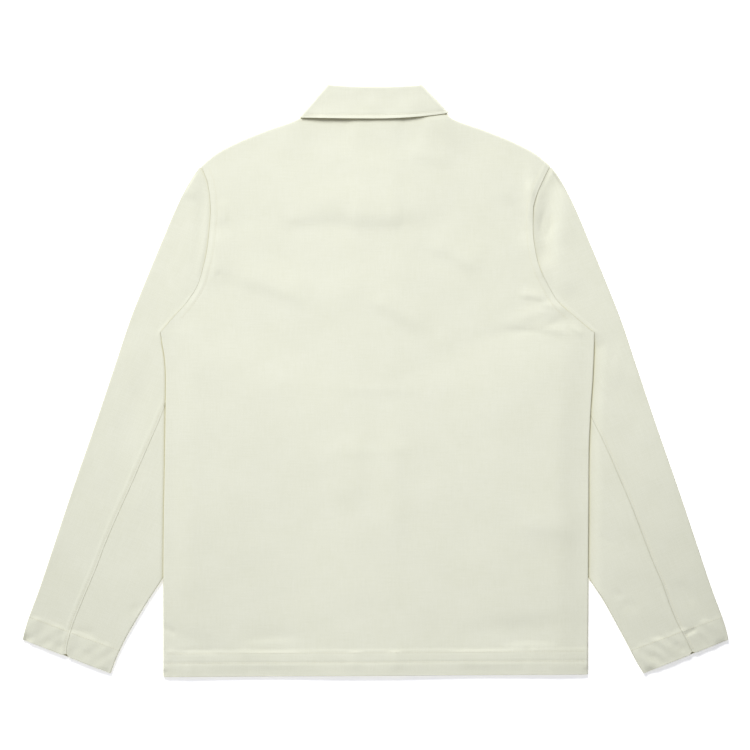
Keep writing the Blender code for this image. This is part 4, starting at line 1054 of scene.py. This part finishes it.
def make_sleeve(side, material, thread):
    name = SIDE_NAMES[side]
    rows = sleeve_rows(side)
    tops = [fold_section(row, row.elbow + HALF_GAP, row.inseam + HALF_GAP, True) for row in rows]
    under_rows = [row for row in rows if row.y <= UNDER_SLEEVE_TOP_Y]
    unders = [fold_section(row, row.elbow - HALF_GAP, row.inseam - HALF_GAP, False) for row in under_rows]
    pieces, cuff_rows = [], []
    for kind, sections in (("top_sleeve", tops), ("under_sleeve", unders)):
        outside, inside = (np.array(grid) for grid in zip(*sections))
        pieces.append(cloth_sheet(f"{kind}_{name}", outside, inside, material, (0.5, 0.1, 0.1, 0.1)))
        outside, inside = sections[round(CUFF_BAND / HEM_STEP)]
        cuff_rows.append((outside[1:-1], unit(outside - inside)[1:-1]))
    line = []
    for row, (outside, _) in zip(rows, tops):
        if CUFF_Y + 3.0 < row.y < SLANT_START_Y - 30.0:
            upper = outside[:UPPER_POINTS]
            from_seam = (upper[:, :2] - row.inner) @ unit(row.outer - row.inner) - row.elbow
            line.append(point_at(ELBOW_ROW_IN, from_seam, upper))
    sewing = [stitches(f"elbow_{name}_stitches", [(line, UP)], thread)]
    sewing.append(stitches(f"cuff_{name}_stitches", cuff_rows, thread))


for side in (LEFT, RIGHT):
    grain = new_material(f"sleeve canvas {SIDE_NAMES[side]}", canvas, side * SLEEVE_TURN)
    make_sleeve(side, grain, thread)

# --- Collar ---------------------------------------------------------------------------------------
# A one-piece collar of two layers, folded over along the neck. Its outer half, the fall, shows on the back.
# The inner half stands up from the neck seam to the fold. It turns round at the shoulders, and its points
# lie on the fronts. The edge is topstitched all round.
FALL_THICK = 2.0
STAND_THICK = 1.6
COLLAR_FOLD_REACH = 2.2
COLLAR_FOLD_ANGLES = np.radians(np.linspace(0, 78, 8))
COLLAR_FOLD_EDGE = 0.3
COLLAR_BACK_MID = 7.15
COLLAR_FRONT_MID = FALL_THICK + HALF_GAP
CollarTurn = namedtuple("CollarTurn", "top foot")
COLLAR_TURNS = {
    LEFT: CollarTurn((60.5, 393.0), (98.3, 349.2)),
    RIGHT: CollarTurn((57.8, 392.5), (94.5, 355.0)),
}
COLLAR_MIDDLE = CollarTurn((0.0, 390.7), (0.0, 348.1))
COLLAR_FRONT = CollarTurn((5.0, 286.0), (76.0, 224.0))  # the fold's end and the point
COLLAR_EDGE_LIFT = 1.3  # the fall's edge stands off the back this much, less towards each turn
COLLAR_EDGE_LIFT_SHARES = {LEFT: (1.0, 0.7), RIGHT: (0.75, 0.25)}
COLLAR_EDGE_PRESSED = 0.7  # and lies on it near the right turn
COLLAR_COUNTS = (56, 17, 48)
COLLAR_ROW_IN = 5.0
COLLAR_TURN_SQUASH = (0.5, 0.5, 1.0)  # it is pressed flatter than round where it turns to the front
NECK_CLEARANCE = 0.6
HALVINGS = 30
CollarColumn = namedtuple("CollarColumn", "fold down out fall stand lift")


def front_neck_chord(x):
    """The front neckline, and past the neck point a little of the shoulder."""
    fixed = np.array([0.0, 20.0, 45.0, 70.0, NECK_HALF, NECK_HALF + 5.0])
    return float(np.interp(x, fixed, front_neck_y(fixed)))


def collar_column(fold, foot, z, out, neck, lift=0.0):
    """A column of the collar from its fold to its foot. The stand reaches from the fold to the neckline."""
    fall = np.linalg.norm(foot - fold)
    down = (foot - fold) / fall
    near, far = 0.0, fall
    for _ in range(HALVINGS):
        middle = (near + far) / 2
        x, y = fold + down * middle
        if y > neck(abs(x)) + NECK_CLEARANCE:
            near = middle
        else:
            far = middle
    return CollarColumn(np.array([*fold, z]), down, out, fall, near, lift)


def collar_half(side):
    """Half of the collar, from the middle of the back to its front end, as if it were the right half."""
    (top, foot), (middle_top, middle_foot), (fold_end, point) = (
        np.array(ends) for ends in (COLLAR_TURNS[side], COLLAR_MIDDLE, COLLAR_FRONT)
    )
    over_back, round_turn, along_front = COLLAR_COUNTS
    columns = []
    for share in np.linspace(0, 1, over_back)[:-1]:
        curve = np.array([share, share**2])
        lift = COLLAR_EDGE_LIFT * rise(share, *COLLAR_EDGE_LIFT_SHARES[side])
        if side == RIGHT:
            lift -= COLLAR_EDGE_PRESSED * rise(share, 0.6, 0.8) * rise(share, 1.0, 0.93)
        ends = (middle_top + (top - middle_top) * curve, middle_foot + (foot - middle_foot) * curve)
        columns.append(collar_column(*ends, COLLAR_BACK_MID, UP, back_neck_y, lift))
    radius = (COLLAR_BACK_MID - COLLAR_FRONT_MID) / 2
    turn = collar_column(top, foot, COLLAR_FRONT_MID + radius, UP, front_neck_chord)
    beside = np.array([-turn.down[1], turn.down[0]])
    for angle in np.radians(np.linspace(90, -90, round_turn)[:-1]):
        out = np.array([*(beside * np.cos(angle)), np.sin(angle)])
        columns.append(turn._replace(fold=turn.fold + out * radius * COLLAR_TURN_SQUASH, out=out))
    for share in np.linspace(0, 1, along_front):
        ends = (top + (fold_end - top) * share, foot + (point - foot) * share)
        columns.append(collar_column(*ends, COLLAR_FRONT_MID, DOWN, front_neck_chord))
    return columns


def mirrored(column):
    flip = np.array([-1, 1, 1])
    return column._replace(fold=column.fold * flip, down=column.down * flip[:2], out=column.out * flip)


def collar_sheet(name, columns, facing, thick, length_of, count, material, bulge):
    """The fall (facing 1) or the stand (facing -1): bent at the fold, then flat down to its edge. Also gives
    a line on its face, COLLAR_ROW_IN from the edge, with the directions out of it."""
    outside, inside, line = [], [], []
    for column in columns:
        down, out = np.array([*column.down, 0.0]), np.array(column.out, float)
        length = length_of(column)
        flat = np.linspace(COLLAR_FOLD_REACH, length, count)
        bent = COLLAR_FOLD_REACH * (1 - np.cos(COLLAR_FOLD_ANGLES))
        distance = np.concatenate([bent, flat])[:, None]
        bend = np.concatenate([np.sin(COLLAR_FOLD_ANGLES), 0 * flat + 1])[:, None]
        lift = column.lift * (distance / column.fall) ** 5 * (facing == 1)
        base = column.fold + down * distance + out * lift
        waves = rolling(base[:, :1], base[:, 1:2], seed=33, length=26.0, height=0.12)
        waves = waves * rise(distance, 2.0, 8.0)
        relief = (groove(length - distance - COLLAR_ROW_IN) + waves) * (facing == 1)
        level = HALF_GAP + np.maximum(COLLAR_FOLD_EDGE, thick * bend) + relief * bend
        outside.append(base + out * facing * level)
        inside.append(base + out * facing * HALF_GAP)
        line.append((point_at(length - COLLAR_ROW_IN, distance[:, 0], outside[-1]), out * facing))
    return cloth_sheet(name, outside, inside, material, bulge), tuple(np.array(part) for part in zip(*line))


def make_collar(material, thread):
    columns = [mirrored(column) for column in collar_half(LEFT)[:0:-1]] + collar_half(RIGHT)
    fall, stand = (lambda column: column.fall), (lambda column: column.stand)
    fall, line = collar_sheet("collar_fall", columns, 1, FALL_THICK, fall, 30, material, (0.5,) * 4)
    stand, _ = collar_sheet("collar_stand", columns, -1, STAND_THICK, stand, 12, material, (0.1,) * 4)
    sewing = stitches("collar_stitches", [line], thread)


make_collar(new_material("collar canvas", canvas, 90.0), thread)

# --- Table, light and camera ----------------------------------------------------------------------
# An opal light table that the jacket lies on, a wide soft lamp with a grid beyond its collar, and a white
# room. A black felt card that stands out of view at the lower right takes light from that sleeve's end.
TABLE_HALF = 6.0  # metres, as all sizes in this section
TABLE_DROP = 0.0002
TABLE_GLOW = 0.475
CARD_AT = (0.62, -0.42, 0.0)
CARD_HALF, CARD_HEIGHT = 0.30, 0.50
KEY_AIM = (-0.03, 0.07, 0.0)
KEY_DIRECTION = (-0.24, 0.73, 0.63)  # from there towards the lamp
KEY_SIZE = 1.8
KEY_DISTANCE = 3.5
KEY_SPREAD = 39.0  # degrees, what the grid lets through
KEY_POWER = 13.9
ROOM_LIGHT = 0.43


def opal_acrylic(tree, place):
    """White acrylic, lit from below: even and matt, and nearly without shadows."""
    speckle = add_node(tree, "TexNoise", {"Vector": place, "Scale": 60.0, "Detail": 2.0})["Fac"]
    tones = {SHARE: speckle, COLOUR_A: linear("F7F7F8"), COLOUR_B: linear("FAFAFB")}
    return {
        "Base Color": add_node(tree, "Mix", tones, data_type="RGBA")[MIXED],
        "Roughness": 0.9,
        "Specular IOR Level": 0.1,
        "Emission Color": linear("FAFBFF"),
        "Emission Strength": TABLE_GLOW,
    }


def black_felt(tree, place):
    """Black felt, fuzzy: it gives back next to no light."""
    fuzz = add_node(tree, "TexNoise", {"Vector": place, "Scale": 400.0})["Fac"]
    tones = {SHARE: fuzz, COLOUR_A: linear("0C0C0D"), COLOUR_B: linear("1A1A1B")}
    return {"Base Color": add_node(tree, "Mix", tones, data_type="RGBA")[MIXED], "Roughness": 1.0}


def placed(name, data, location):
    thing = bpy.data.objects.new(name, data)
    thing.location = location
    bpy.context.scene.collection.objects.link(thing)
    return thing


def board(name, corners, location, material):
    """A flat board that the jacket is shown with."""
    data = bpy.data.meshes.new(name)
    data.from_pydata(corners, [], [(0, 1, 2, 3)])
    data.materials.append(material)
    thing = placed(name, data, location)
    return thing


corners = [(x * TABLE_HALF, y * TABLE_HALF, 0) for x, y in ((-1, -1), (1, -1), (1, 1), (-1, 1))]
board("table", corners, (0, 0, -TABLE_DROP), new_material("opal acrylic", opal_acrylic))
corners = [(0, y * CARD_HALF, z * CARD_HEIGHT) for y, z in ((-1, 0), (1, 0), (1, 1), (-1, 1))]
card = board("card", corners, CARD_AT, new_material("black felt", black_felt))
card.visible_camera = False
card.visible_shadow = False  # it takes the light of the room, not the lamp's

key = bpy.data.lights.new("key", "AREA")
key.shape = "SQUARE"
key.size = KEY_SIZE
key.energy = KEY_POWER
key.spread = np.radians(KEY_SPREAD)
direction = Vector(KEY_DIRECTION).normalized()
lamp = placed("key", key, Vector(KEY_AIM) + direction * KEY_DISTANCE)
lamp.rotation_euler = direction.to_track_quat("Z", "Y").to_euler()

scene = bpy.context.scene
scene.world = bpy.data.worlds.new("white room")
scene.world.use_nodes = True
room = scene.world.node_tree.nodes["Background"].inputs
room["Color"].default_value = linear("F9F9FD")
room["Strength"].default_value = ROOM_LIGHT
scene.view_settings.view_transform = "Standard"

lens = bpy.data.cameras.new("camera")
lens.lens, lens.sensor_width = 144.0, 36.0
scene.camera = placed("camera", lens, (-0.0007, 0.0067, 4.0))
